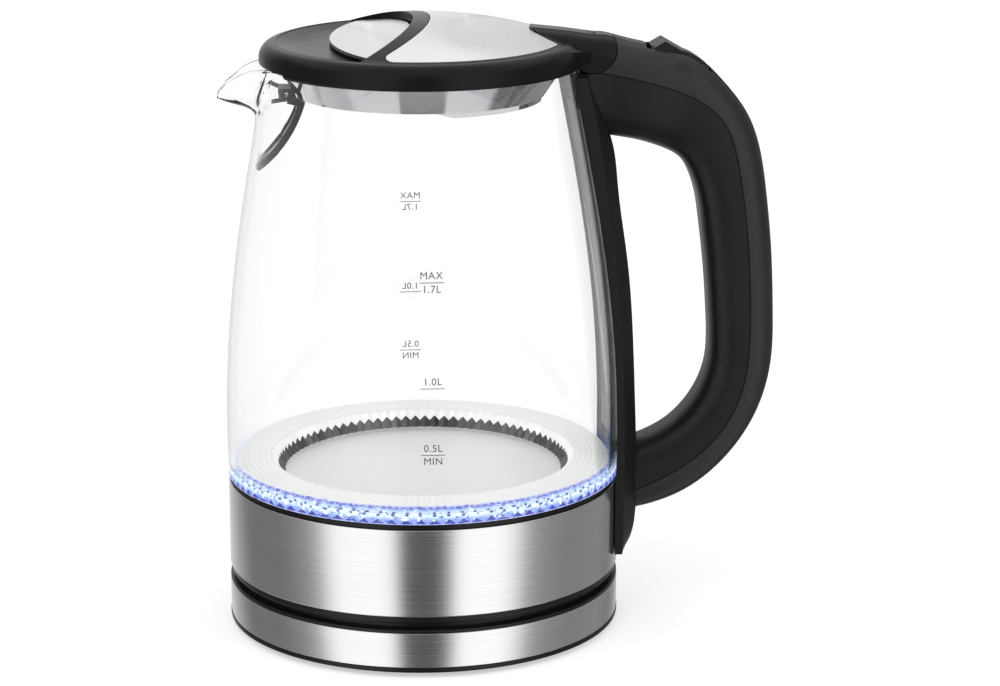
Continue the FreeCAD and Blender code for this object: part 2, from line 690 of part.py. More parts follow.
def make_filter():
    top_x, top_z = filter_arc[0]
    low_z = filter_arc[2][1]
    opening = filter_half_width - filter_border
    window = curved_sheet(3 * filter_wall, opening)
    window = window.common(block(-over_all, top_x - filter_border, -opening, opening,
                                 low_z + filter_sill, top_z - filter_sill))
    frame = curved_sheet(filter_wall, filter_half_width).cut(window)
    bar_far = catch_bar[0] - latch_tip
    bar_near = catch_bar[1] - latch_tip
    bar_high = latch_low - catch_gap
    bar_low = bar_high - catch_bar_height
    bar = block(bar_far, bar_near, -filter_half_width, filter_half_width, bar_low, bar_high)
    frame = frame.fuse(bar)
    inside = filter_half_width - filter_border
    for side in (-1, 1):
        root = side * filter_half_width
        cheek = slab([(top_x - filter_wall / 2, top_z - catch_bar_height), (top_x + filter_wall / 2, top_z),
                      (bar_near, bar_high), (bar_far, bar_high), (bar_far, bar_low - catch_bar_height)],
                     filter_border / 2, side * (filter_half_width + inside) / 2)
        tip = side * filter_arm_tip
        corners = [V(bar_far, root, bar_low), V(bar_near, root, bar_low),
                   V(-filter_arm_reach[0], tip, bar_low), V(-filter_arm_reach[1], tip, bar_low)]
        arm = Part.Face(Part.makePolygon(corners + [corners[0]])).extrude(UP * catch_bar_height)
        frame = frame.fuse(cheek).fuse(arm)
    wall = glass_solid(-glass_wall - seat_gap)
    frame = frame.common(wall)
    mesh = curved_sheet(mesh_sheet, opening).common(window).cut(frame)
    save("filter_frame", frame)
    save("filter_mesh", mesh.common(wall))


# ---------------------------------------------------------------- handle
def grip_wire(inner, outer, half_width, inset):
    """Rounded section between two points of the plane of symmetry."""
    a = V(inner[0], 0, inner[1])
    b = V(outer[0], 0, outer[1])
    centre = (a + b) * 0.5
    along = (b - a).normalize()
    half_depth = (b - a).Length / 2 - inset
    half_count = section_points // 2
    halves = []
    for side in (1, -1):
        points = []
        for i in range(half_count + 1):
            turn = math.pi * i / half_count
            u = math.copysign(abs(math.cos(turn)) ** section_power, math.cos(turn)) * half_depth
            v = abs(math.sin(turn)) ** section_power * (half_width - inset)
            if i in (0, half_count):
                v = 0
            points.append(centre + along * (side * u) + NORTH * (side * v))
        curve = Part.BSplineCurve()
        pull = NORTH * (side * half_width * section_pull)
        curve.interpolate(Points=points, InitialTangent=pull, FinalTangent=pull * -1)
        halves.append(curve.toShape())
    return Part.Wire(halves)


def grip_solid(inset, first=0, last=None):
    wires = []
    chosen = list(enumerate(grip_sections))[first:last]
    for i, (inner, outer) in chosen:
        wide = head_half_width if i < head_section_count else grip_half_width
        wires.append(grip_wire(inner, outer, wide, inset))
    return Part.makeLoft(wires, True, False)


def outside_seam(shift):
    """Region outside the seam line, which is moved outwards by shift."""
    side = band_radius
    points = []
    for i, (x, z) in enumerate(seam_line):
        before = seam_line[max(i - 1, 0)]
        after = seam_line[min(i + 1, len(seam_line) - 1)]
        run = V(after[0] - before[0], 0, after[1] - before[1]).normalize()
        points.append(V(x - run.z * shift, -side, z + run.x * shift))
    corners = [V(points[-1].x, -side, 0), V(over_all, -side, 0), V(over_all, -side, over_all),
               V(points[0].x, -side, over_all)]
    edges = [spline(points), Part.makePolygon([points[-1]] + corners + [points[0]])]
    return Part.Face(Part.Wire(edges)).extrude(V(0, 2 * side, 0))


def make_strip():
    wires = []
    for z, side_edge, back in strip_sections:
        front = side_edge - strip_depth
        corners = [V(front, -strip_half_width, z), V(side_edge, -strip_half_width, z),
                   V(back, -strip_back_half_width, z), V(back, strip_back_half_width, z),
                   V(side_edge, strip_half_width, z), V(front, strip_half_width, z)]
        wires.append(Part.makePolygon(corners + [corners[0]]))
    strip = Part.makeLoft(wires, True, False)
    foot = disc(band_radius + fit_gap, 0, glass_low)
    return strip.cut(glass_solid(bond_gap)).cut(foot)


def tongue_solid(grow):
    """Hinge tongue of the handle head, made larger all round by grow."""
    half = tongue_half_width + grow
    knob = cross_rod(tongue_radius + grow, hinge_x, hinge_z, half)
    web = block(hinge_x - tongue_web[0] - grow, hinge_x + tongue_web[1] + grow, -half, half,
                hinge_z - knuckle_radius - tongue_root, hinge_z)
    return knob.fuse(web)


def rocker_solid(skin):
    """Rocker: a patch of the head's skin with a raised nose, a stem and a pivot."""
    x, z = rocker_pivot
    wide = rocker_half_width
    stem_x, stem_y = rocker_stem_half
    patch_box = block(rocker_front, rocker_back, -wide, wide, slot_floor, over_all)
    patch = skin.common(patch_box).cut(grip_solid(rocker_depth, 0, head_section_count * 2))
    nose = slab(rocker_nose, wide)
    stem = block(x - stem_x, x + stem_x, -stem_y, stem_y, rocker_stem_foot, z + rocker_depth)
    barrel = cross_rod(rocker_barrel, x, z, wide)
    web = block(x - rocker_barrel, x + rocker_barrel, -wide, wide, z, z + rocker_depth)
    rocker = patch.fuse(nose).fuse(stem).fuse(barrel).fuse(web)
    return rocker.cut(cross_rod(switch_pin_radius + pin_play, x, z, over_all))


def make_handle(strip):
    skin = grip_solid(0)
    hollow = grip_solid(grip_wall, hollow_first_section, len(grip_sections) - 1)
    room_radius = knuckle_radius + knuckle_gap
    room = cross_rod(room_radius, hinge_x, hinge_z, band_radius)
    room = room.fuse(block(0, hinge_x, -band_radius, band_radius, hinge_z - room_radius, over_all))
    shell = skin.cut(room).cut(glass_solid(bond_gap)).cut(strip)
    region = outside_seam(0)
    groove = outside_seam(-seam_groove / 2).cut(outside_seam(seam_groove / 2)).cut(grip_solid(seam_groove))
    slot_side = rocker_half_width + rocker_side_room
    slot = block(rocker_front - rocker_front_room, rocker_back + rocker_back_room, -slot_side, slot_side,
                 slot_floor, over_all)
    outer = shell.common(region).cut(hollow).cut(slot).cut(groove)
    for y in (-steam_duct_y, steam_duct_y):
        duct_end = V(switch_box_corner[0], y, steam_duct_z)
        outer = outer.cut(rod(steam_duct_radius, V(hinge_x, y, steam_duct_z), duct_end))
    x, z = rocker_pivot
    lugs = cross_rod(rocker_lug_radius, x, z, grip_half_width - 1)
    lugs = lugs.cut(block(0, over_all, -slot_side, slot_side, 0, over_all))
    switch_pin = cross_rod(switch_pin_radius, x, z, rocker_half_width + switch_pin_reach)
    outer = outer.fuse(lugs.common(region)).cut(switch_pin).cut(tongue_solid(seat_gap))
    inner = shell.cut(region).cut(hollow).cut(groove)
    inner = inner.fuse(tongue_solid(0).cut(strip).cut(glass_solid(bond_gap)))
    hinge_pin = cross_rod(hinge_pin_radius, hinge_x, hinge_z, hinge_pin_length / 2)
    inner = inner.cut(hinge_pin)
    x0, y0, z0 = switch_box_corner
    dx, dy, dz = switch_box_size
    middle = z0 + dz / 2
    switch_box = Part.makeBox(dx, dy, dz, V(x0, y0, z0)).common(hollow)
    disc_back = x0 - screw_play
    steam_disc = rod(steam_disc_radius, V(disc_back - disc_height, 0, middle), V(disc_back, 0, middle))
    return {"grip_outer": outer, "grip_inner": inner, "hinge_pin": hinge_pin, "switch_pin": switch_pin,
            "steam_switch": switch_box, "steam_disc": steam_disc.common(hollow),
            "switch_rocker": rocker_solid(skin), "skin": skin}


# ---------------------------------------------------------------- lid
def dome(drop):
    """Ball whose top surface is the lid's dome, lowered by drop."""
    rise = lid_top - lid_edge_height
    ball = (lid_edge_radius ** 2 + rise ** 2) / (2 * rise)
    return Part.makeSphere(ball, V(0, 0, lid_top - drop - ball))


def plan(radius, centre_x, low, high):
    return disc(radius, low, high, centre_x, 0)


def upright_edges(shape, side):
    """Corner edges along Z on one side of the axis; seams lie in the plane of symmetry."""
    boxes = [(e, e.BoundBox) for e in shape.Edges]
    return [e for e, box in boxes if box.XLength < seat_gap and box.YLength < seat_gap
            and box.Center.x * side > 0 and abs(box.Center.y) > inlay_gap]


def inlay_plan(gap, low, high):
    shape = plan(inlay_radius - gap, 0, low, high)
    shape = shape.cut(plan(strap_outer_radius + gap, -strap_centre, low - 1, high + 1))
    shape = shape.cut(plan(inlay_back_radius + gap, inlay_back_centre, low - 1, high + 1))
    at_strap, at_back = inlay_corners
    shape = shape.makeFillet(at_strap - gap, upright_edges(shape, -1))
    return shape.makeFillet(at_back - gap, upright_edges(shape, 1))


def leaf_plan(low, high):
    """Lens between the strap and the front edge of the leaf."""
    rear = plan(strap_inner_radius - leaf_gap, -scoop_centre, low, high)
    sag = leaf_front_x - leaf_end_x
    radius = (leaf_front_half_chord ** 2 + sag ** 2) / (2 * sag)
    front = plan(radius, radius - leaf_front_x, low, high)
    return rear.common(front).common(disc(leaf_tip_radius, low, high))


def leaf_ball(drop):
    x = leaf_station - leaf_dome_x
    rise = math.sqrt(leaf_dome_radius ** 2 - x ** 2)
    return Part.makeSphere(leaf_dome_radius - drop, V(leaf_dome_x, 0, leaf_dome_height - rise))


def swept_tongue():
    """Room that the handle's tongue needs in the lid while the lid opens."""
    room = tongue_solid(fit_gap)
    step = (lid_open_angle + tongue_overswing) / tongue_sweep_steps
    for i in range(1, tongue_sweep_steps + 1):
        tongue = tongue_solid(fit_gap)
        tongue.rotate(hinge_point, NORTH, -i * step)
        room = room.fuse(tongue)
    return room


def lid_nose():
    """The head's shape carried on over the lid."""
    sections = [lid_nose_section, grip_sections[0], grip_sections[1]]
    return Part.makeLoft([grip_wire(a, b, head_half_width, 0) for a, b in sections], True, True)


def make_cover(skin):
    underside = scoop_floor - lid_skin
    inside = cone_foot_radius - lid_skin
    taper_in, taper_height = skirt_taper
    cover = turned([(0, underside), (0, lid_edge_height), (lid_radius, lid_edge_height),
                    (lid_radius, skirt_low + taper_height), (lid_radius - taper_in, skirt_low),
                    (skirt_inner, skirt_low), (skirt_inner, cone_top), (cone_top_radius, cone_top),
                    (cone_foot_radius, cone_foot), (inside, cone_foot), (inside, underside)])
    corner = [e for e in cover.Edges if e.BoundBox.ZMin > lid_edge_height - seat_gap
              and e.BoundBox.XMax > lid_radius - seat_gap]
    cover = cover.makeFillet(lid_shoulder, corner)
    cover = cover.fuse(dome(0).common(disc(lid_edge_radius, lid_edge_height - seat_gap, over_all)))
    spout_in, spout_side = spout_room
    notch = block(-over_all, spout_in - rim_radius, -spout_side, spout_side, 0, rim_height + wing_rise)
    cover = cover.cut(notch.cut(disc(cone_top_radius, 0, over_all)))
    side = 2 * knuckle_radius
    knuckle = cross_rod(knuckle_radius, hinge_x, hinge_z, side)
    boss_radius = inlay_back_radius - inlay_gap
    boss = disc(boss_radius, rim_height + wing_rise, over_all, inlay_back_centre, 0)
    knuckle = knuckle.fuse(boss.common(block(0, hinge_x, -side, side, 0, over_all)))
    half = [V(x, y, 0) for x, y in wing_outline]
    other = [V(p.x, -p.y, 0) for p in reversed(half)]
    wings = Part.Face(Part.makePolygon(half + other + [half[0]])).extrude(UP * wing_height)
    wings.translate(UP * (rim_height + wing_rise))
    wings = wings.common(dome(0).fuse(skin)).cut(disc(inside, 0, underside))
    rear = skin.common(knuckle).fuse(lid_nose().common(knuckle))
    cover = cover.fuse(wings).fuse(rear.cut(disc(inside, 0, underside)))
    hollow = disc(lid_edge_radius - lid_skin - hollow_inset, underside - 1, lid_top)
    hollow = hollow.cut(plan(strap_outer_radius + lid_skin, -strap_centre, 0, over_all))
    hollow = hollow.common(dome(lid_skin + inlay_sheet))
    cover = cover.cut(hollow.cut(block(hinge_x - hollow_end_inset, over_all, -side, side, 0, over_all)))
    scoop = Part.makeCone(scoop_radius - scoop_draft, scoop_radius, scoop_depth, V(0, 0, scoop_floor), UP)
    scoop = scoop.fuse(disc(scoop_radius, lid_edge_height, over_all))
    cover = cover.cut(scoop.common(plan(strap_inner_radius, -scoop_centre, 0, over_all)))
    return cover.cut(inlay_plan(-inlay_gap, cone_foot, over_all).cut(dome(inlay_sheet)))


def make_pan():
    """Pan under the lid with a sump, steam holes and a window for the latch."""
    flange_in = pan_top_radius - pan_flange
    flange_low = cone_foot - pan_sheet
    floor_high = pan_foot + pan_sheet
    wall_top = pan_top_radius - pan_sheet - pan_joggle
    pan = turned([(0, pan_foot), (pan_foot_radius, pan_foot), (pan_top_radius, cone_foot),
                  (flange_in, cone_foot), (flange_in, flange_low), (wall_top, flange_low),
                  (pan_foot_radius - pan_sheet, floor_high), (0, floor_high)])
    sump_low = pan_foot - sump_depth
    ramp_end = sump_start + sump_ramp
    outside = slab([(sump_start, pan_foot), (ramp_end, sump_low), (over_all, sump_low),
                    (over_all, floor_high), (sump_start, floor_high)], band_radius)
    room = slab([(sump_start + pan_sheet, floor_high), (ramp_end + pan_sheet, sump_low + pan_sheet),
                 (over_all, sump_low + pan_sheet), (over_all, over_all), (sump_start + pan_sheet, over_all)],
                band_radius)
    sump_radius = pan_foot_radius - sump_inset
    outside = outside.common(disc(sump_radius, 0, over_all))
    room = room.common(disc(sump_radius - pan_sheet, 0, floor_high))
    pan = pan.fuse(outside).cut(room)
    side = latch_half_width + lever_to_latch
    pan = pan.cut(block(-latch_tip, -steam_hole_circle, -side, side, latch_low - latch_guide_gap,
                        latch_low + latch_thick + latch_guide_gap))
    for angle in steam_hole_angles:
        turn = math.radians(angle)
        pan = pan.cut(disc(steam_hole_radius, 0, floor_high, steam_hole_circle * math.cos(turn),
                           steam_hole_circle * math.sin(turn)))
    return pan


def make_lid(skin):
    cover = make_cover(skin)
    inlay = inlay_plan(0, cone_foot, over_all).common(dome(0)).cut(dome(inlay_sheet))
    underside = scoop_floor - lid_skin
    ears = slab([(lever_x - ear_root, underside), (lever_x - ear_top, lever_z + ear_rise),
                 (lever_x + ear_top, lever_z + ear_rise), (lever_x + ear_root, underside)],
                ear_half_width, ear_y)
    cover = cover.fuse(ears).fuse(ears.mirror(V(0, 0, 0), NORTH))
    front, behind, side = arm_slot
    cover = cover.cut(block(lever_x - front, lever_x + behind, -side, side, underside - 1, scoop_floor + 1))
    lever_pin = cross_rod(lever_pin_radius, lever_x, lever_z, lever_pin_length / 2)
    cover = cover.cut(lever_pin).cut(swept_tongue())
    pin_room = hinge_pin_length / 2 + screw_play
    cover = cover.cut(cross_rod(hinge_pin_radius + pin_play, hinge_x, hinge_z, pin_room))
    pan = make_pan()
    head_radius, head_height = lid_screw_head
    flange_low = cone_foot - pan_sheet
    screws = []
    for x, y in around(pan_top_radius - lid_screw_inset, lid_screw_count, lid_screw_turn):
        cover = cover.fuse(disc(lid_screw_lug, cone_foot, underside, x, y))
        shaft = disc(lid_screw_radius, flange_low, underside - seal_bite, x, y)
        cover = cover.cut(shaft)
        pan = pan.cut(shaft)
        screws.append(shaft.fuse(disc(head_radius, flange_low - head_height, flange_low, x, y)))
    seal = tube(cone_foot_radius - seal_bite, seal_radius, rim_height - seal_height, rim_height - seat_gap)
    save("lid_cover", cover)
    save("lid_inlay", inlay)
    save("lid_pan", pan)
    save("lid_seal", seal.cut(cover))
    save("lid_screws", Part.makeCompound(screws))
    save("lever_pin", lever_pin)


def make_lever():
    leaf = leaf_plan(0, over_all).common(leaf_ball(0)).cut(leaf_ball(leaf_sheet))
    half_x, half_y = arm_half
    lug = slab([(lever_x - ear_top, lever_z - ear_top), (lever_x - ear_top, lid_top),
                (lever_x + ear_top, lid_top), (lever_x + ear_top, lever_z - ear_top)], lug_half_width, lug_y)
    arm = block(lever_x - half_x, lever_x + half_x, -half_y, half_y, lever_arm_foot, lid_top)
    body = lug.fuse(lug.mirror(V(0, 0, 0), NORTH)).fuse(arm).common(leaf_ball(leaf_sheet / 2))
    lever = leaf.fuse(body).cut(cross_rod(lever_pin_radius + pin_play, lever_x, lever_z, lever_pin_length))
    latch_high = latch_low + latch_thick
    wide = latch_half_width
    hook_low = latch_low - latch_hook_drop
    post_x = lever_x - half_x - lever_to_latch
    latch = block(-latch_tip, post_x, -wide, wide, latch_low, latch_high)
    latch = latch.fuse(block(-latch_tip, latch_hook_sheet - latch_tip, -wide, wide, hook_low, latch_high))
    latch = latch.fuse(block(-latch_tip, latch_hook_nose - latch_tip, -wide, wide, hook_low,
                             hook_low + latch_hook_lip))
    latch = latch.fuse(block(post_x - latch_post_depth, post_x, -half_y, half_y, latch_low,
                             scoop_floor - lid_skin - lever_to_latch))
    save("release_lever", lever)
    save("lid_latch", latch)


def make_lever_spring():
    helix = Part.makeHelix(spring_pitch, spring_pitch * spring_turns, spring_radius)
    section = Part.Wire([Part.makeCircle(spring_wire_radius, V(spring_radius, 0, 0), NORTH)])
    coil = Part.Wire([helix]).makePipeShell([section], True, True)
    coil.rotate(V(0, 0, 0), EAST, -90)
    coil.translate(V(lever_x, spring_y, lever_z))
    save("lever_spring", coil)


# ---------------------------------------------------------------- assembly
make_base()
make_socket()
foot = make_jug_foot()
make_heater()
make_filter()
glass = make_glass()
strip = make_strip()
handle = make_handle(strip)
bond = glass_solid(bond_gap).cut(glass_solid(0))
bond = bond.common(block(0, over_all, -bond_half_width, bond_half_width, bond_low, bond_high))
screws = []
wall = liner_radius - chassis_wall
for z in handle_screw_levels:
    start = V(chassis_inner_radius, 0, z)
    face = V(wall, 0, z)
    end = V(band_radius + handle_screw_reach, 0, z)
    shaft = rod(screw_radius, face, end)
    screws.append(shaft.fuse(rod(screw_head_radius, V(wall - screw_head_height, 0, z), face)))
    passage = rod(screw_radius + screw_play, start, end)
    passage = passage.fuse(rod(screw_head_radius + screw_play, start, face))
    foot["jug_chassis"] = foot["jug_chassis"].cut(passage)
    foot["jug_steel_band"] = foot["jug_steel_band"].cut(passage)
    strip = strip.cut(shaft)
make_lid(handle.pop("skin"))
make_lever()
make_lever_spring()
save("glass_jug", glass)
save("handle_strip", strip)
save("handle_bond_pad", bond)
save("handle_screws", Part.makeCompound(screws))
for name, shape in list(foot.items()) + list(handle.items()):
    save(name, shape)
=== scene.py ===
import bpy
import bmesh
import math

import numpy as np
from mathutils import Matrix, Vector


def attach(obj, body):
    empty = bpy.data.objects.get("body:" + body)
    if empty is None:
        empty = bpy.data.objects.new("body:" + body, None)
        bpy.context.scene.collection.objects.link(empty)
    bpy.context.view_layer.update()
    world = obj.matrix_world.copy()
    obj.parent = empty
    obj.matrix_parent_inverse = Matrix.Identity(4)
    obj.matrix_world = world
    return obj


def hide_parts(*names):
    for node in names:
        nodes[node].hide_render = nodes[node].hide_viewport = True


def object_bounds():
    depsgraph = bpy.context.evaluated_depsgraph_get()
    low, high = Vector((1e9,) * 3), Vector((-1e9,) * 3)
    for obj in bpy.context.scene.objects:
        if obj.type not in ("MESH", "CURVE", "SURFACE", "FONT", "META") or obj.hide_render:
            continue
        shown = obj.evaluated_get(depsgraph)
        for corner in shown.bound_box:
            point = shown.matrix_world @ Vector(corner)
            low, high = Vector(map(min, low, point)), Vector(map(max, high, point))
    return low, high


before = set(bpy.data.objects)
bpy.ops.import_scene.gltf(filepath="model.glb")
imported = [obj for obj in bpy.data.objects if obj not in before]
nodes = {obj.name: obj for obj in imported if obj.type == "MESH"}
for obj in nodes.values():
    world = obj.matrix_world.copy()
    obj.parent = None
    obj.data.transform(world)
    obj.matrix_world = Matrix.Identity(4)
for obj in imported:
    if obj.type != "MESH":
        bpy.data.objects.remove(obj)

cad_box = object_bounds()
MM = 0.001


# ---------------------------------------------------------------- node helpers
class Shader:
    """A material with short ways to add nodes and wires."""

    def __init__(self, name, **sockets):
        self.material = bpy.data.materials.new(name)
        self.material.use_nodes = True
        self.tree = self.material.node_tree
        self.bsdf = self.tree.nodes["Principled BSDF"]
        self.set(self.bsdf, **sockets)

    def set(self, node, **sockets):
        for key, value in sockets.items():
            node.inputs[key.replace("_", " ")].default_value = value

    def add(self, kind, **properties):
        node = self.tree.nodes.new(kind)
        for key, value in properties.items():
            setattr(node, key, value)
        return node

    def wire(self, source, target):
        self.tree.links.new(source, target)

    def math(self, operation, a, b=None):
        node = self.add("ShaderNodeMath", operation=operation)
        for slot, value in enumerate((a, b)):
            if value is None:
                continue
            if isinstance(value, (int, float)):
                node.inputs[slot].default_value = value
            else:
                self.wire(value, node.inputs[slot])
        return node.outputs[0]

    def mix(self, factor, a, b):
        node = self.add("ShaderNodeMix", data_type="RGBA")
        for slot, value in ((0, factor), (6, a), (7, b)):
            if isinstance(value, (int, float, tuple)):
                node.inputs[slot].default_value = value
            else:
                self.wire(value, node.inputs[slot])
        return node.outputs[2]

    def place(self, scale=(1, 1, 1)):
        """Object coordinates, scaled."""
        source = self.add("ShaderNodeTexCoord")
        mapping = self.add("ShaderNodeMapping")
        mapping.inputs["Scale"].default_value = scale
        self.wire(source.outputs["Object"], mapping.inputs["Vector"])
        return mapping.outputs[0]

    def noise(self, scale, place=None, detail=3.0, roughness=0.5):
        node = self.add("ShaderNodeTexNoise")
        node.inputs["Scale"].default_value = scale
        node.inputs["Detail"].default_value = detail
        node.inputs["Roughness"].default_value = roughness
        self.wire(place if place is not None else self.place(), node.inputs["Vector"])
        return node.outputs["Fac"]

    def remap(self, value, low, high, to_low, to_high):
        node = self.add("ShaderNodeMapRange")
        self.wire(value, node.inputs["Value"])
        for key, number in (("From Min", low), ("From Max", high), ("To Min", to_low), ("To Max", to_high)):
            node.inputs[key].default_value = number
        return node.outputs[0]

    def bump(self, height, strength, distance):
        node = self.add("ShaderNodeBump")
        node.inputs["Strength"].default_value = strength
        node.inputs["Distance"].default_value = distance
        self.wire(height, node.inputs["Height"])
        self.wire(node.outputs[0], self.bsdf.inputs["Normal"])
        return node

    def soft_edges(self, radius, bump):
        """Rounds sharp edges in the shading, under the bump."""
        node = self.add("ShaderNodeBevel", samples=6)
        node.inputs["Radius"].default_value = radius
        self.wire(node.outputs[0], bump.inputs["Normal"])

    def ramp(self, value, stops):
        """Colour ramp through stops of (position, (r, g, b)), lowest first."""
        node = self.add("ShaderNodeValToRGB")
        self.wire(value, node.inputs[0])
        elements = node.color_ramp.elements
        elements.remove(elements[1])
        elements[0].position = stops[0][0]
        elements[0].color = (*stops[0][1], 1)
        for position, color in stops[1:]:
            elements.new(position).color = (*color, 1)
        return node.outputs[0]

    def split(self, vector):
        node = self.add("ShaderNodeSeparateXYZ")
        self.wire(vector, node.inputs[0])
        return node.outputs


# ---------------------------------------------------------------- materials
PLASTIC_IOR = 1.49
GLASS_IOR = 1.34      # lower than real glass, so that its own reflections stay weak
FINE_SCALE = 2600.0   # grain and brush lines, in cells per metre
BRUSH_LENGTH = 9.0    # the same, along the brush lines
CLOUDS = (0.3, 0.7)   # the part of the noise's range that counts


def tinted(color, factor):
    """The colour times a factor, as a socket value."""
    return (*[min(c * factor, 1.0) for c in color], 1)


def plastic(name, color, roughness, grain, edge=0.25 * MM, level=0.5):
    """Moulded plastic with a fine eroded grain."""
    s = Shader(name, Base_Color=(*color, 1), Roughness=roughness, IOR=PLASTIC_IOR)
    s.set(s.bsdf, Specular_IOR_Level=level)
    place = s.place()
    cloud = s.noise(38.0, place, 2.0)
    s.wire(s.mix(cloud, tinted(color, 0.86), tinted(color, 1.14)), s.bsdf.inputs["Base Color"])
    s.wire(s.remap(cloud, *CLOUDS, roughness - 0.03, roughness + 0.03), s.bsdf.inputs["Roughness"])
    fine = s.noise(FINE_SCALE, place, 2.0, 0.6)
    bump = s.bump(fine, grain, 0.05 * MM)
    s.soft_edges(edge, bump)
    return s.material


def brushed(name, color, roughness, along="ring", strength=0.25, contrast=0.05):
    """Steel with fine brush lines round the object or along one direction."""
    s = Shader(name, Base_Color=(*color, 1), Metallic=1.0, Roughness=roughness)
    s.set(s.bsdf, Anisotropic=0.85)
    if along == "ring":
        place = s.place((BRUSH_LENGTH, BRUSH_LENGTH, FINE_SCALE))
        tangent = s.add("ShaderNodeTangent", direction_type="RADIAL", axis="Z")
        s.wire(tangent.outputs[0], s.bsdf.inputs["Tangent"])
    else:
        place = s.place((FINE_SCALE, BRUSH_LENGTH, BRUSH_LENGTH))
    lines = s.noise(1.0, place, 4.0, 0.65)
    tint = s.mix(s.remap(lines, *CLOUDS, 0, 1), tinted(color, 1 - contrast), tinted(color, 1 + contrast))
    s.wire(tint, s.bsdf.inputs["Base Color"])
    s.wire(s.remap(lines, *CLOUDS, roughness * 0.85, roughness * 1.15), s.bsdf.inputs["Roughness"])
    s.bump(lines, strength, 0.01 * MM)
    return s.material


def metal(name, color, roughness, spots=0.06):
    """Plain metal with a faint cloudiness."""
    s = Shader(name, Base_Color=(*color, 1), Metallic=1.0, Roughness=roughness)
    place = s.place()
    cloud = s.noise(60.0, place, 4.0, 0.6)
    shine = s.remap(cloud, *CLOUDS, max(roughness - spots, 0.02), roughness + spots)
    s.wire(shine, s.bsdf.inputs["Roughness"])
    s.wire(s.mix(cloud, tinted(color, 0.95), tinted(color, 1.04)), s.bsdf.inputs["Base Color"])
    bump = s.bump(s.noise(900.0, place, 2.0), 0.05, 0.02 * MM)
    s.soft_edges(0.15 * MM, bump)
    return s.material


def clear_glass(name):
    """Clear glass without colour noise, so that it stays clear."""
    s = Shader(name, Base_Color=(0.99, 0.994, 0.993, 1), Roughness=0.0, IOR=GLASS_IOR)
    s.set(s.bsdf, Transmission_Weight=1.0)
    return s.material


black = plastic("black_plastic", (0.0085, 0.0085, 0.009), 0.38, 0.12, level=0.24)
gloss = plastic("gloss_black", (0.006, 0.006, 0.0065), 0.27, 0.02, edge=0.5 * MM, level=0.13)
# black plastic for the outer grip: its lighter colour is a painted sheen, and it is also glossier than the
# plain black
shell_black_painted_sheen = plastic("shell_black_painted_sheen", (0.013, 0.013, 0.0135), 0.42, 0.14, level=0.36)
rim_black = plastic("rim_black", (0.007, 0.007, 0.0075), 0.26, 0.05, level=0.26)
rubber = plastic("black_rubber", (0.012, 0.012, 0.012), 0.6, 0.2, level=0.3)
silicone = plastic("clear_silicone", (0.62, 0.62, 0.62), 0.5, 0.1)
control = plastic("control_plastic", (0.55, 0.51, 0.42), 0.45, 0.12)
board = plastic("circuit_board", (0.03, 0.16, 0.07), 0.4, 0.1)
band_steel = brushed("brushed_steel", (0.77, 0.77, 0.775), 0.13, strength=0.035, contrast=0.055)
satin_steel = brushed("satin_steel", (0.84, 0.84, 0.84), 0.26, along="line", strength=0.02, contrast=0.012)
plate_steel = metal("plate_steel", (0.98, 0.98, 0.975), 0.55, 0.04)
pan_steel = metal("pan_steel", (0.6, 0.6, 0.605), 0.05, 0.02)
polished = metal("polished_steel", (0.8, 0.8, 0.8), 0.06, 0.02)
aluminium = metal("aluminium", (0.72, 0.72, 0.73), 0.35)
brass = metal("brass", (0.78, 0.56, 0.26), 0.25)
glass = clear_glass("glass")

lamp = Shader("blue_lamp", Base_Color=(0.2, 0.35, 1.0, 1), Roughness=0.3)
lamp.set(lamp.bsdf, Emission_Color=(0.15, 0.3, 1.0, 1), Emission_Strength=2.0)

finish = {
    "base_shell": rim_black, "base_steel_band": band_steel, "base_bottom_plate": black, "base_feet": rubber,
    "base_screws": polished, "base_connector": black, "base_contact_rings": brass, "cord_gland": rubber,
    "jug_socket": black, "jug_socket_contacts": brass, "jug_bottom_cover": rim_black,
    "bottom_cover_screws": polished, "jug_chassis": black, "jug_steel_band": band_steel,
    "jug_gasket": rim_black, "glass_jug": glass,
    "light_guide_ring": silicone, "led_board": board, "leds": lamp.material, "heater_plate": satin_steel,
    "plate_seal": silicone, "heat_spreader": aluminium, "heating_element": aluminium,
    "thermostat_control": control, "dry_boil_discs": brass, "control_screws": polished, "filter_frame": black,
    "filter_mesh": satin_steel, "handle_strip": black, "handle_bond_pad": silicone, "grip_inner": black,
    "grip_outer": shell_black_painted_sheen, "handle_screws": polished, "steam_switch": control, "steam_disc": brass,
    "switch_pin": black, "hinge_pin": black, "switch_rocker": black, "lid_cover": gloss,
    "lid_inlay": satin_steel, "lid_pan": pan_steel, "lid_seal": silicone, "lid_screws": polished,
    "lever_pin": polished, "lever_spring": polished, "release_lever": satin_steel, "lid_latch": black,
}
for node, material in finish.items():
    data = nodes[node].data
    data.materials.clear()
    data.materials.append(material)


# ---------------------------------------------------------------- smooth shading of the CAD pieces
SMOOTH_ANGLE = math.radians(28)
WELD = 0.002 * MM


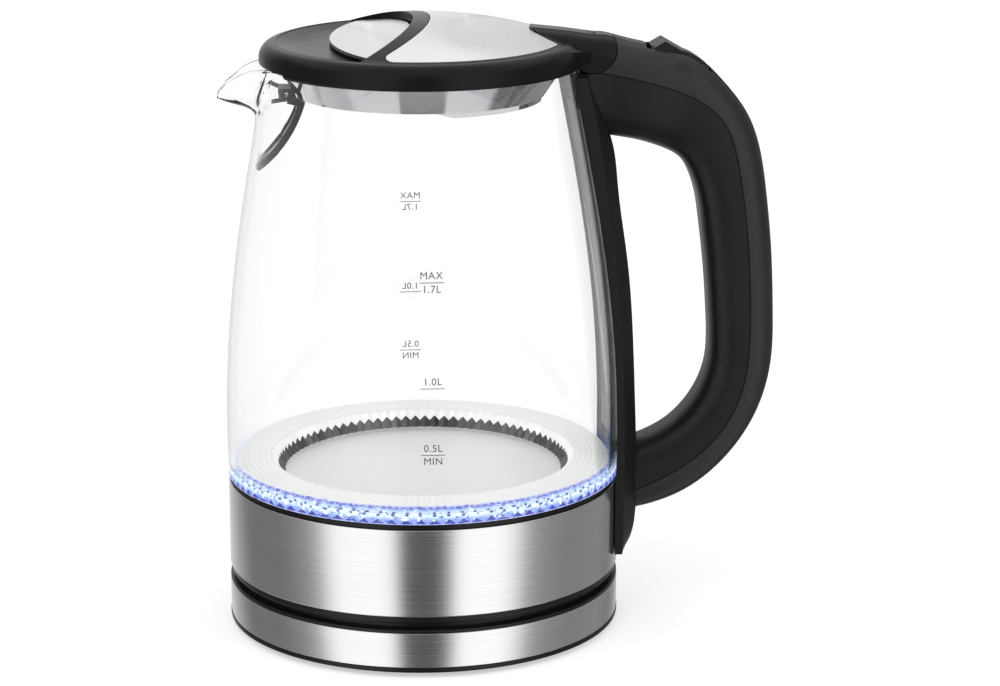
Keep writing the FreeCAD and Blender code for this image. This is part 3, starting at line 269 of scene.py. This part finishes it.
def smooth_group():
    """Node group that welds a CAD mesh and smooths its shading below the angle."""
    tree = bpy.data.node_groups.new("smooth_shading", "GeometryNodeTree")
    tree.interface.new_socket("Geometry", in_out="INPUT", socket_type="NodeSocketGeometry")
    tree.interface.new_socket("Geometry", in_out="OUTPUT", socket_type="NodeSocketGeometry")
    start = tree.nodes.new("NodeGroupInput")
    end = tree.nodes.new("NodeGroupOutput")
    plain = tree.nodes.new("GeometryNodeRemoveAttribute")
    plain.inputs["Name"].default_value = "custom_normal"
    weld = tree.nodes.new("GeometryNodeMergeByDistance")
    weld.inputs["Distance"].default_value = WELD
    faces = tree.nodes.new("GeometryNodeSetShadeSmooth")
    edges = tree.nodes.new("GeometryNodeSetShadeSmooth")
    edges.domain = "EDGE"
    edges.inputs["Shade Smooth"].default_value = False
    corner = tree.nodes.new("GeometryNodeInputMeshEdgeAngle")
    sharp = tree.nodes.new("FunctionNodeCompare")
    sharp.data_type = "FLOAT"
    sharp.operation = "GREATER_THAN"
    sharp.inputs[1].default_value = SMOOTH_ANGLE
    wire = tree.links.new
    wire(start.outputs[0], plain.inputs["Geometry"])
    wire(plain.outputs[0], weld.inputs["Geometry"])
    wire(weld.outputs[0], faces.inputs["Geometry"])
    wire(faces.outputs[0], edges.inputs["Geometry"])
    wire(corner.outputs["Unsigned Angle"], sharp.inputs[0])
    wire(sharp.outputs[0], edges.inputs["Selection"])
    wire(edges.outputs[0], end.inputs[0])
    return tree


smoothing = smooth_group()
for node in nodes.values():
    modifier = node.modifiers.new("smooth", "NODES")
    modifier.node_group = smoothing


# ---------------------------------------------------------------- mesh helpers
def link(name, data):
    piece = bpy.data.objects.new(name, data)
    bpy.context.scene.collection.objects.link(piece)
    return piece


def new_object(name, verts, faces, material, body=None):
    data = bpy.data.meshes.new(name)
    data.from_pydata(verts, [], faces)
    data.validate()
    data.update()
    piece = link(name, data)
    data.materials.append(material)
    if body:
        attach(piece, body)
    return piece


def shade(piece, angle=30):
    """Smooth shading with sharp edges above the angle."""
    mesh = bmesh.new()
    mesh.from_mesh(piece.data)
    bmesh.ops.recalc_face_normals(mesh, faces=mesh.faces)
    for face in mesh.faces:
        face.smooth = True
    for edge in mesh.edges:
        edge.smooth = edge.calc_face_angle(0.0) < math.radians(angle)
    mesh.to_mesh(piece.data)
    mesh.free()
    return piece


def ring_faces(steps, count):
    """Quads of a ring made of closed columns, each with count points."""
    faces = []
    for i in range(steps):
        j = (i + 1) % steps
        for k in range(count):
            m = (k + 1) % count
            faces.append((i * count + k, j * count + k, j * count + m, i * count + m))
    return faces


def lathe(name, outline, material, body, steps=256):
    """Ring turned about Z from a closed outline of (radius, height) in mm."""
    verts = []
    for i in range(steps):
        turn = 2 * math.pi * i / steps
        for r, z in outline:
            verts.append((r * math.cos(turn) * MM, r * math.sin(turn) * MM, z * MM))
    return shade(new_object(name, verts, ring_faces(steps, len(outline)), material, body))


def rounded(points, radii, steps=4):
    """Closed outline with its corners rounded; radii has one value for each point."""
    out = []
    count = len(points)
    for i, (point, radius) in enumerate(zip(points, radii)):
        p = Vector(point)
        a = Vector(points[i - 1]) - p
        b = Vector(points[(i + 1) % count]) - p
        if radius <= 0:
            out.append(tuple(p))
            continue
        radius = min(radius, a.length * 0.49, b.length * 0.49)
        start = p + a.normalized() * radius
        end = p + b.normalized() * radius
        for k in range(steps + 1):
            t = k / steps
            out.append(tuple(start * (1 - t) ** 2 + p * 2 * t * (1 - t) + end * t ** 2))
    return out


# ---------------------------------------------------------------- turned pieces, finer than the CAD mesh
BAND_STEPS = 360


def band_outline(low, high, corner):
    """Section of a steel band between two heights, its outer corners rounded."""
    inner, outer = 79.2, 80.0
    return rounded([(inner, low), (inner, high), (outer, high), (outer, low)], [0, 0, corner, corner])


base_ring = [(19.1, 20.0), (19.1, 22.0), (76.5, 22.0), (76.5, 19.7), (80.0, 19.7), (80.0, 18.32),
             (79.1, 18.32), (79.1, 4.0), (80.2, 4.0), (80.2, 2.0), (76.9, 2.0), (76.9, 20.0)]
base_corners = [0, 0.2, 0.9, 0.3, 0.9, 0.15, 0, 0, 0.2, 0.7, 0.1, 0.3]
piece = lathe("base_rim", rounded(base_ring, base_corners), rim_black, "power_base")
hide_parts("base_shell")
piece = lathe("base_band", band_outline(4.05, 18.28, 0.25), band_steel, "power_base",
              BAND_STEPS)
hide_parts("base_steel_band")
piece = lathe("jug_band", band_outline(25.15, 60.75, 0.3), band_steel, "jug", BAND_STEPS)
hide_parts("jug_steel_band")
gasket = [(74.8, 60.8), (74.8, 63.2), (79.0, 63.2), (79.0, 60.8)]
piece = lathe("glass_gasket", rounded(gasket, [0, 0.2, 0.5, 0.1]), rim_black, "jug")
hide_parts("jug_gasket")
foot_ring = [(22.1, 22.3), (79.4, 22.3), (79.4, 25.1), (76.4, 25.1), (76.4, 24.3), (23.9, 24.3), (23.9, 36.0),
             (22.1, 36.0)]
foot_corners = [0.3, 0.7, 0.1, 0, 0, 0, 0, 0.3]
piece = lathe("jug_foot_rim", rounded(foot_ring, foot_corners), rim_black, "jug")
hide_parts("jug_bottom_cover")

# ---------------------------------------------------------------- glass jug
GLASS_LOW = 63.2
RIM = 231.6
GUIDE_LOW = 63.2
GUIDE_TOP = 69.9
LIT_ROWS = 4   # rows of the glass in front of the light guide
LIT_TOP = 67.6   # lower than the guide, so that the far side stays hidden behind it
LIT_REACH = 79.5   # only the outer skin lies further out than this
NOTCH_HEIGHT = 228.05   # the rim is cut down to here for the lid hinge
NOTCH_HALF = math.asin(16.0 / 63.2)   # half its width over the radius there
FULL_TURN = 2 * math.pi


def natural_spline(points):
    """Smooth function through (x, y) points with x rising."""
    xs = np.array([p[0] for p in points], float)
    ys = np.array([p[1] for p in points], float)
    n = len(xs)
    h = np.diff(xs)
    system = np.eye(n)
    right = np.zeros(n)
    for i in range(1, n - 1):
        system[i, i - 1:i + 2] = h[i - 1], 2 * (h[i - 1] + h[i]), h[i]
        right[i] = 6 * ((ys[i + 1] - ys[i]) / h[i] - (ys[i] - ys[i - 1]) / h[i - 1])
    bend = np.linalg.solve(system, right)

    def value(x):
        x = np.clip(np.asarray(x, float), xs[0], xs[-1])
        i = np.clip(np.searchsorted(xs, x) - 1, 0, n - 2)
        a = (xs[i + 1] - x) / h[i]
        b = (x - xs[i]) / h[i]
        curve = (a ** 3 - a) * bend[i] + (b ** 3 - b) * bend[i + 1]
        return a * ys[i] + b * ys[i + 1] + curve * h[i] ** 2 / 6
    return value


# radius of the wall over its foot, then the spout's half width, its depth and its lip over the reach
body_radius = natural_spline([(0.0, 80.1), (28.8, 80.2), (68.8, 77.8), (108.8, 72.6), (148.8, 65.6),
                              (168.4, 62.0)])
spout_width = natural_spline([(52.0, 25.0), (58.0, 20.5), (64.0, 15.5), (68.3, 12.4), (73.9, 8.4),
                              (78.4, 5.4), (81.4, 3.2)])
spout_depth = natural_spline([(52.0, 40.0), (58.0, 31.0), (64.0, 21.5), (68.3, 18.0), (73.9, 16.2),
                              (78.4, 14.8), (81.4, 13.6)])
lip_depth = natural_spline([(57.0, 0.0), (66.0, 1.6), (72.0, 3.9), (75.6, 6.6), (79.3, 9.4), (81.4, 12.4)])
SPOUT_ROOT = 52.0     # the spout is drawn from this far out
SPOUT_REACH = 81.4
SPOUT_TOP = 6.0       # over the rim
SPOUT_END = cad_box[0][0] / MM + 0.01   # a hair inside the CAD box
LIP_START = 57.0
BLEND_REACH = 14      # the wall and the spout flow together within this


def wall_radius(turn, z, body_inset, spout_inset, shorten, blend=2.2):
    """Distance of the wall from the axis; turn and z are arrays of the same shape."""
    body = body_radius(z - GLASS_LOW) - body_inset
    low = np.full(turn.shape, 48.0)
    high = np.full(turn.shape, SPOUT_REACH - shorten)
    cos = -np.cos(turn)
    sin = np.sin(turn)

    def inside(r):
        reach = np.maximum(r * cos, 20.0) + shorten
        outside = np.maximum(reach, SPOUT_ROOT)
        behind = np.maximum(SPOUT_ROOT - reach, 0)
        width = spout_width(outside) - spout_inset + behind
        depth = spout_depth(outside) + behind * 1.5
        bottom = RIM - depth + spout_inset
        top = RIM + SPOUT_TOP
        return 1 - (r * sin / np.maximum(width, 0.2)) ** 2 - ((top - z) / (top - bottom)) ** 2

    facing = cos > 0.2
    for _ in range(34):
        middle = (low + high) / 2
        good = (inside(middle) > 0) & facing
        low = np.where(good, middle, low)
        high = np.where(good, high, middle)
    spout = np.where(facing, low, 40.0)
    spout = np.minimum(spout, SPOUT_REACH - shorten - np.minimum((spout * sin) ** 2 * 0.05, 3))
    difference = body - spout
    joined = 0.5 * (body + spout + np.sqrt(difference ** 2 + blend ** 2))
    excess = np.where(difference > 0, blend ** 2 / (4 * BLEND_REACH), 0)
    return np.where(difference > BLEND_REACH, body, joined - excess)


def wall_top(turn, inset, spout_inset, shorten):
    """Height of the rim for each turn, where the lip of the spout cuts the wall."""
    heights = np.linspace(RIM - 16, RIM, 321)
    grid_turn, grid_z = np.meshgrid(turn, heights, indexing="ij")
    radius = wall_radius(grid_turn, grid_z, inset, spout_inset, shorten)
    reach = -radius * np.cos(grid_turn)
    limit = RIM - lip_depth(np.maximum(reach, LIP_START))
    below = grid_z <= limit + 1e-9
    last = below.shape[1] - 1 - np.argmax(below[:, ::-1], axis=1)
    return heights[last]


def notch_top(turn, top):
    """The rim with the notch for the lid hinge cut in."""
    away = np.abs((turn + math.pi) % FULL_TURN - math.pi)
    return np.where(away < NOTCH_HALF, np.minimum(top, NOTCH_HEIGHT), top)


def glass_columns():
    """Turns of the glass's columns: closer at the spout and at the edges of the notch."""
    turns = set()
    for degrees in np.arange(0, 360, 1.5):
        turns.add(round(math.radians(degrees), 7))
    for degrees in np.arange(150, 210, 0.4):
        turns.add(round(math.radians(degrees), 7))
    for edge in (NOTCH_HALF, FULL_TURN - NOTCH_HALF):
        turns.add(edge - 0.0004)
        turns.add(edge + 0.0004)
    return np.array(sorted(turns))


def glass_mesh():
    """Outer skin, rounded lip and inner skin of the glass, as closed columns."""
    turns = glass_columns()
    rows = np.concatenate([np.linspace(0, 0.78, 60, endpoint=False), np.linspace(0.78, 1.0, 110)])
    foot = np.linspace(GLASS_LOW, LIT_TOP, LIT_ROWS, endpoint=False)
    skins = []
    for body_inset, spout_inset, shorten in ((0, 0, 0), (3.0, 2.4, 1.6)):
        top = notch_top(turns, wall_top(turns, body_inset, spout_inset, shorten))
        grid_turn = np.repeat(turns[:, None], len(rows) + LIT_ROWS, axis=1)
        upper = LIT_TOP + (top[:, None] - LIT_TOP) * rows[None, :]
        z = np.concatenate([np.repeat(foot[None, :], len(turns), axis=0), upper], axis=1)
        radius = wall_radius(grid_turn, z, body_inset, spout_inset, shorten)
        skins.append(np.stack([radius * np.cos(grid_turn), radius * np.sin(grid_turn), z], axis=-1))
    outer, inner = skins
    edge_out = outer[:, -1]
    edge_in = inner[:, -1]
    thickness = np.linalg.norm(edge_out - edge_in, axis=1)[:, None]
    lips = []
    for t in (0.25, 0.5, 0.75):
        lift = np.array([0, 0, 1.0]) * thickness * 0.35 * math.sin(math.pi * t)
        lips.append(edge_out * (1 - t) + edge_in * t + np.minimum(lift, 0.9))
    profile = np.concatenate([outer, np.stack(lips, axis=1), inner[:, ::-1]], axis=1)
    # the rounded lip rises no higher than the rim, and the spout ends inside the CAD box
    profile[:, :, 2] = np.minimum(profile[:, :, 2], RIM)
    profile[:, :, 0] = np.maximum(profile[:, :, 0], SPOUT_END)
    verts = [tuple(p * MM) for column in profile for p in column]
    return verts, ring_faces(len(turns), profile.shape[1])


verts, faces = glass_mesh()
jug_glass = shade(new_object("jug_glass", verts, faces, glass, "jug"), 50)
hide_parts("glass_jug")


# ---------------------------------------------------------------- level marks
MARK_SHIFT = {-1: -0.6, 1: 0.8}   # mm along the near wall and the far wall
PRINT_RISE = 0.04                 # mm over the glass
TEXT_SIZE = 4.0
TEXT_OFFSET = 2.6                 # from the line to the middle of the text
LINE_SIZE = (9.3, 0.3)
LEVELS = ((158.7, "MAX", "1.7L"), (117.8, "1.0L", None), (91.5, "0.5L", "MIN"))   # height, above, below


def on_glass(piece, side, centre_z):
    """Wraps flat lettering (x across, y up, in mm) onto the glass; side is -1 for the near wall."""
    for vertex in piece.data.vertices:
        across, up = vertex.co.x + MARK_SHIFT[side], vertex.co.y
        z = centre_z + up
        radius = float(body_radius(z - GLASS_LOW)) + PRINT_RISE
        turn = side * math.pi / 2 + across / radius
        vertex.co = (radius * math.cos(turn) * MM, radius * math.sin(turn) * MM, z * MM)
    piece.data.update()


print_ink = Shader("print_ink", Base_Color=(0.045, 0.045, 0.05, 1), Roughness=0.5)
ink_wear = print_ink.noise(900.0, None, 2.0)
print_ink.wire(print_ink.mix(ink_wear, (0.03, 0.03, 0.033, 1), (0.07, 0.07, 0.075, 1)),
               print_ink.bsdf.inputs["Base Color"])


def lettering(name, text, up, side, centre_z):
    curve = bpy.data.curves.new(name, "FONT")
    curve.body = text
    curve.size = TEXT_SIZE
    curve.align_x = "CENTER"
    curve.align_y = "CENTER"
    curve.space_character = 1.08
    source = link(name + "_source", curve)
    bpy.context.view_layer.update()
    data = bpy.data.meshes.new_from_object(source.evaluated_get(bpy.context.evaluated_depsgraph_get()))
    bpy.data.objects.remove(source)
    piece = link(name, data)
    data.materials.clear()
    data.materials.append(print_ink.material)
    for vertex in data.vertices:
        vertex.co.y += up
    on_glass(piece, side, centre_z)
    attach(piece, "jug")


def level_line(name, side, centre_z):
    width, thick = LINE_SIZE
    steps = 12
    verts = []
    for i in range(steps + 1):
        x = -width / 2 + width * i / steps
        verts += [(x, -thick / 2, 0), (x, thick / 2, 0)]
    faces = [(2 * i, 2 * i + 2, 2 * i + 3, 2 * i + 1) for i in range(steps)]
    piece = new_object(name, verts, faces, print_ink.material)
    on_glass(piece, side, centre_z)
    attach(piece, "jug")


for side, tag in ((-1, "near"), (1, "far")):
    for z, above, below in LEVELS:
        stem = "mark_%s_%d" % (tag, round(z))
        level_line(stem + "_line", side, z)
        lettering(stem + "_above", above, TEXT_OFFSET, side, z)
        if below:
            lettering(stem + "_below", below, -TEXT_OFFSET, side, z)


# ---------------------------------------------------------------- light guide
FACETS = 90
FACET_STEPS = 4


def guide_pattern(s):
    """Position round the ring in facets and height in the ring, 0 to 1."""
    x, y, z = s.split(s.place())
    turn = s.math("ARCTAN2", y, x)
    across = s.math("MULTIPLY", turn, FACETS / (2 * math.pi))
    up = s.math("DIVIDE", s.math("SUBTRACT", z, GUIDE_LOW * MM), (GUIDE_TOP - GUIDE_LOW) * MM)
    return across, up


def near_middle(s, across, times=1.0, shift=0.0):
    """Distance from the middle of each facet, 0 to 0.5."""
    cell = s.math("FRACT", s.math("ADD", s.math("MULTIPLY", across, times), 100.0 + shift))
    return s.math("ABSOLUTE", s.math("SUBTRACT", cell, 0.5))


def band(s, value, low, high, soft=0.02):
    rise = s.remap(value, low - soft, low + soft, 0, 1)
    fall = s.remap(value, high - soft, high + soft, 1, 0)
    return s.math("MULTIPLY", rise, fall)


lit = Shader("lit_guide", Roughness=0.12, IOR=PLASTIC_IOR)
across, up = guide_pattern(lit)
warp = lit.math("MULTIPLY", lit.math("SUBTRACT", lit.noise(200.0, None, 2.0), 0.5), 0.5)
across = lit.math("ADD", across, warp)
up = lit.math("ADD", up, lit.math("MULTIPLY", warp, 0.22))
centre = near_middle(lit, across)
tone = lit.ramp(up, [(0.0, (0.55, 0.62, 0.95)), (0.08, (0.24, 0.32, 0.80)), (0.30, (0.30, 0.40, 0.86)),
                     (0.42, (0.52, 0.70, 1.0)), (0.58, (0.74, 0.88, 1.0)), (0.72, (0.46, 0.62, 1.0)),
                     (0.84, (0.22, 0.28, 0.74)), (1.0, (0.60, 0.64, 0.95))])
height = lit.remap(up, 0.05, 0.34, 0.42, 0.0)
triangle = lit.math("MULTIPLY", lit.math("GREATER_THAN", height, centre), band(lit, up, 0.05, 0.33))
dot = lit.math("MULTIPLY", lit.remap(centre, 0.08, 0.16, 1, 0), band(lit, up, 0.52, 0.64, 0.03))
dash = lit.remap(near_middle(lit, across, 2.0), 0.2, 0.3, 1, 0)
dash = lit.math("MULTIPLY", dash, band(lit, up, 0.86, 0.93))
seam = lit.remap(near_middle(lit, across, 1.0, 0.5), 0.02, 0.07, 1, 0)
seam = lit.math("MULTIPLY", seam, band(lit, up, 0.36, 0.5))
color = lit.mix(triangle, tone, (0.06, 0.07, 0.36, 1))
color = lit.mix(dot, color, (0.03, 0.05, 0.22, 1))
color = lit.mix(dash, color, (0.10, 0.10, 0.42, 1))
color = lit.mix(lit.math("MULTIPLY", seam, 0.6), color, (0.30, 0.36, 0.80, 1))
spark = lit.remap(lit.noise(480.0, None, 1.0), 0.57, 0.63, 0, 0.8)
spark = lit.math("MULTIPLY", spark, band(lit, up, 0.2, 0.85, 0.08))
color = lit.mix(spark, color, (0.93, 0.98, 1.0, 1))
spot = lit.remap(lit.noise(430.0, lit.place((1, 1, 1.6)), 1.0), 0.33, 0.40, 0.7, 0)
color = lit.mix(spot, color, (0.06, 0.12, 0.50, 1))
lit.wire(color, lit.bsdf.inputs["Emission Color"])
lit.set(lit.bsdf, Emission_Strength=0.85)
lit.wire(lit.mix(0.7, color, (0, 0, 0, 1)), lit.bsdf.inputs["Base Color"])

# the prisms in front of the lamps are drawn on the outer skin at the foot of the glass
jug_glass.data.materials.append(lit.material)
for polygon in jug_glass.data.polygons:
    reach = math.hypot(polygon.center.x, polygon.center.y)
    if polygon.center.z < LIT_TOP * MM and reach > LIT_REACH * MM:
        polygon.material_index = 1

frost = Shader("frosted_guide_painted_glow", Base_Color=(0.93, 0.94, 0.94, 1), Roughness=0.3, IOR=PLASTIC_IOR)
across, up = guide_pattern(frost)
rib = near_middle(frost, across, 2.0)
x, y, _ = frost.split(frost.place())
reach = frost.math("SQRT", frost.math("ADD", frost.math("MULTIPLY", x, x), frost.math("MULTIPLY", y, y)))
ring_wave = frost.math("SINE", frost.math("MULTIPLY", reach, 2 * math.pi / (2.3 * MM)))
# each rib is painted darker in its groove and lighter at its crest (painted shade); the same value gives the
# bump height
rib_height_and_painted_shade = frost.remap(rib, 0.0, 0.5, 0.0, 1.0)
tint = frost.mix(rib_height_and_painted_shade, (0.78, 0.785, 0.785, 1), (0.96, 0.965, 0.965, 1))
arc = frost.remap(ring_wave, 0.8, 1.0, 0.0, 0.5)
tint = frost.mix(arc, tint, (0.5, 0.5, 0.5, 1))
edge = frost.remap(reach, 75.2 * MM, 76.6 * MM, 0.0, 0.3)
tint = frost.mix(edge, tint, (0.8, 0.82, 0.86, 1))
frost.wire(tint, frost.bsdf.inputs["Base Color"])
# emission in the same tint gives the frosted guide a painted glow
frost.wire(tint, frost.bsdf.inputs["Emission Color"])
frost.set(frost.bsdf, Coat_Weight=0.3, Coat_Roughness=0.05, Emission_Strength=0.32)
frost.bump(frost.math("ADD", rib_height_and_painted_shade, frost.math("MULTIPLY", ring_wave, 0.25)), 0.35, 0.12 * MM)

# inner wall of the guide: painted reflections, dark facets for the dark surroundings seen in them, with
# painted white glints that also glow
facet = Shader("facets_painted_reflection", Roughness=0.12, IOR=PLASTIC_IOR)
across, up = guide_pattern(facet)
centre = near_middle(facet, across)
cell = facet.math("FLOOR", facet.math("MULTIPLY", across, 2.0))
# a number from 0 to 1 for each prism, from the usual sine hash
shuffle = facet.math("SINE", facet.math("MULTIPLY", cell, 12.9898))
shuffle = facet.math("FRACT", facet.math("MULTIPLY", shuffle, 43758.5))
# above this zigzag edge each prism gets a painted white glint
edge_height = facet.math("ADD", facet.math("MULTIPLY", centre, -0.6), 0.66)
painted_glint = facet.math("GREATER_THAN", up, edge_height)
painted_dark_reflection = facet.mix(shuffle, (0.012, 0.012, 0.013, 1), (0.085, 0.085, 0.088, 1))
# painted grey reflection streaks at the ridges and grooves of some prisms
painted_reflection_streak = facet.remap(near_middle(facet, across, 2.0), 0.40, 0.5, 0, 1)
painted_reflection_streak = facet.math("MULTIPLY", painted_reflection_streak, facet.remap(shuffle, 0.4, 1.0, 0, 0.5))
painted_dark_reflection = facet.mix(painted_reflection_streak, painted_dark_reflection, (0.5, 0.5, 0.5, 1))
facet.wire(facet.mix(painted_glint, painted_dark_reflection, (0.94, 0.94, 0.94, 1)), facet.bsdf.inputs["Base Color"])
facet.wire(facet.mix(painted_glint, (0, 0, 0, 1), (0.95, 0.97, 1.0, 1)), facet.bsdf.inputs["Emission Color"])
facet.set(facet.bsdf, Emission_Strength=0.3)


def guide_mesh():
    """Ring with prisms on its outer and inner walls. Faces are listed wall by wall."""
    # radius on the ridge, radius in the groove, height
    outline = [(71.2, 71.2, 60.95), (74.4, 74.4, 60.95), (74.4, 74.4, 63.3), (76.7, 75.9, 63.3),
               (76.7, 75.7, 66.6), (76.7, 76.2, 69.4), (76.2, 75.8, 69.9), (69.0, 69.0, 69.75),
               (62.0, 63.0, 69.85), (61.0, 62.6, 69.3), (56.4, 57.2, 63.25), (71.2, 71.2, 63.25)]
    kinds = [0, 0, 0, 1, 1, 1, 0, 0, 0, 2, 0, 0]   # frost, lit and facet, wall by wall
    steps = FACETS * FACET_STEPS
    verts = []
    for i in range(steps):
        turn = 2 * math.pi * i / steps
        groove = abs((i % FACET_STEPS) / FACET_STEPS - 0.5) * 2
        for ridge_r, groove_r, z in outline:
            r = ridge_r * (1 - groove) + groove_r * groove
            verts.append((r * math.cos(turn) * MM, r * math.sin(turn) * MM, z * MM))
    return verts, ring_faces(steps, len(outline)), kinds * steps


verts, faces, kinds = guide_mesh()
piece = new_object("light_ring", verts, faces, frost.material, "jug")
for extra in (lit.material, facet.material):
    piece.data.materials.append(extra)
for polygon, kind in zip(piece.data.polygons, kinds):
    polygon.material_index = kind
shade(piece, 12)
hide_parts("light_guide_ring")
plate = [(0.01, 61.95), (66.0, 61.95), (66.0, 63.1), (0.01, 63.1)]
piece = lathe("floor_plate", rounded(plate, [0, 0, 0.3, 0]), plate_steel, "jug")
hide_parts("heater_plate")


# ---------------------------------------------------------------- studio
FLOOR = 4   # half the side of the floor, in metres
floor_shader = Shader("floor", Base_Color=(0.5, 0.5, 0.5, 1), Roughness=0.9)
floor_shader.set(floor_shader.bsdf, Emission_Color=(1, 1, 1, 1), Emission_Strength=0.52,
                 Specular_IOR_Level=0.0)
corners = [(-FLOOR, -FLOOR, 0), (FLOOR, -FLOOR, 0), (FLOOR, FLOOR, 0), (-FLOOR, FLOOR, 0)]
floor = new_object("floor", corners, [(0, 1, 2, 3)], floor_shader.material)
floor.visible_glossy = False
floor.visible_transmission = False

world = bpy.data.worlds.new("studio")
bpy.context.scene.world = world
world.use_nodes = True
world.node_tree.nodes["Background"].inputs["Color"].default_value = (1, 1, 1, 1)
world.node_tree.nodes["Background"].inputs["Strength"].default_value = 1.05

# rings of softboxes and flags round the set, seen only in reflections; the low one also through the glass
SEGMENTS = 240
RING = 2.6   # radius, in metres


def studio_ring(name, low, high, stops, through_glass):
    """Bright wall between two heights. Stops are (degrees from the front, brightness)."""
    verts = []
    for i in range(SEGMENTS):
        turn = 2 * math.pi * i / SEGMENTS
        for z in (low, high):
            verts.append((RING * math.cos(turn), RING * math.sin(turn), z))
    faces = []
    for i in range(SEGMENTS):
        j = (i + 1) % SEGMENTS
        faces.append((2 * i, 2 * j, 2 * j + 1, 2 * i + 1))
    shader = Shader(name)
    wall = new_object(name, verts, faces, shader.material)
    place = shader.split(shader.place())
    turn = shader.math("ARCTAN2", place[0], shader.math("MULTIPLY", place[1], -1.0))
    grey_stops = [((degrees + 180) / 360, (value, value, value)) for degrees, value in stops]
    grey = shader.ramp(shader.remap(turn, -math.pi, math.pi, 0, 1), grey_stops)
    glow = shader.add("ShaderNodeEmission")
    shader.wire(grey, glow.inputs["Color"])
    shader.wire(glow.outputs[0], shader.tree.nodes["Material Output"].inputs["Surface"])
    wall.visible_camera = False
    wall.visible_diffuse = False
    wall.visible_transmission = through_glass
    wall.visible_shadow = False
    wall.visible_volume_scatter = False


studio_ring("softbox_ring", -1.7, 2.2,
            [(-180, 0.95), (-146, 0.46), (-134, 0.3), (-125, 0.2), (-95, 0.2), (-84, 0.25), (-75, 0.32),
             (-67, 0.48), (-60, 0.95), (-53, 1.24), (-24, 1.28), (-20, 1.0), (-17, 0.5), (-14, 0.1), (4, 0.1),
             (8, 0.2), (11.5, 0.5), (15, 1.0), (19, 1.28), (40, 1.28), (47, 1.15), (54, 0.8), (58, 0.52),
             (63, 0.38), (72, 0.3), (90, 0.25), (120, 0.28), (137, 0.22), (150, 0.36), (180, 0.95)], False)
studio_ring("low_ring", -9.0, -1.7,
            [(-180, 1.0), (-150, 0.95), (-122, 0.8), (-98, 0.6), (-92, 1.0), (-40, 1.15), (-36, 0.01),
             (34, 0.01), (38, 1.15), (86, 1.0), (93, 0.12), (150, 0.16), (180, 1.0)], True)


TARGET = Vector((0, 0, 0.12))


def softbox(name, where, size, power):
    """Soft light aimed at the middle of the kettle."""
    data = bpy.data.lights.new(name, "AREA")
    data.shape = "RECTANGLE"
    data.size, data.size_y = size, size
    data.energy = power
    light = link(name, data)
    light.location = where
    aim = TARGET - Vector(where)
    light.rotation_euler = aim.to_track_quat("-Z", "Y").to_euler()
    light.visible_camera = False
    light.visible_glossy = False


softbox("key", (-0.9, -1.1, 1.5), 1.2, 9.0)
softbox("fill", (1.2, -0.9, 1.2), 1.0, 5.0)

# ---------------------------------------------------------------- camera
camera_data = bpy.data.cameras.new("camera")
camera_data.sensor_width = 36.0
camera_data.lens = 114.72
camera = link("camera", camera_data)
camera.location = (-0.07033, -1.25796, 0.44708)
camera.rotation_euler = (math.radians(90 - 14.756), 0, math.radians(-4.641))
bpy.context.scene.camera = camera
bpy.context.scene.view_settings.view_transform = "Standard"
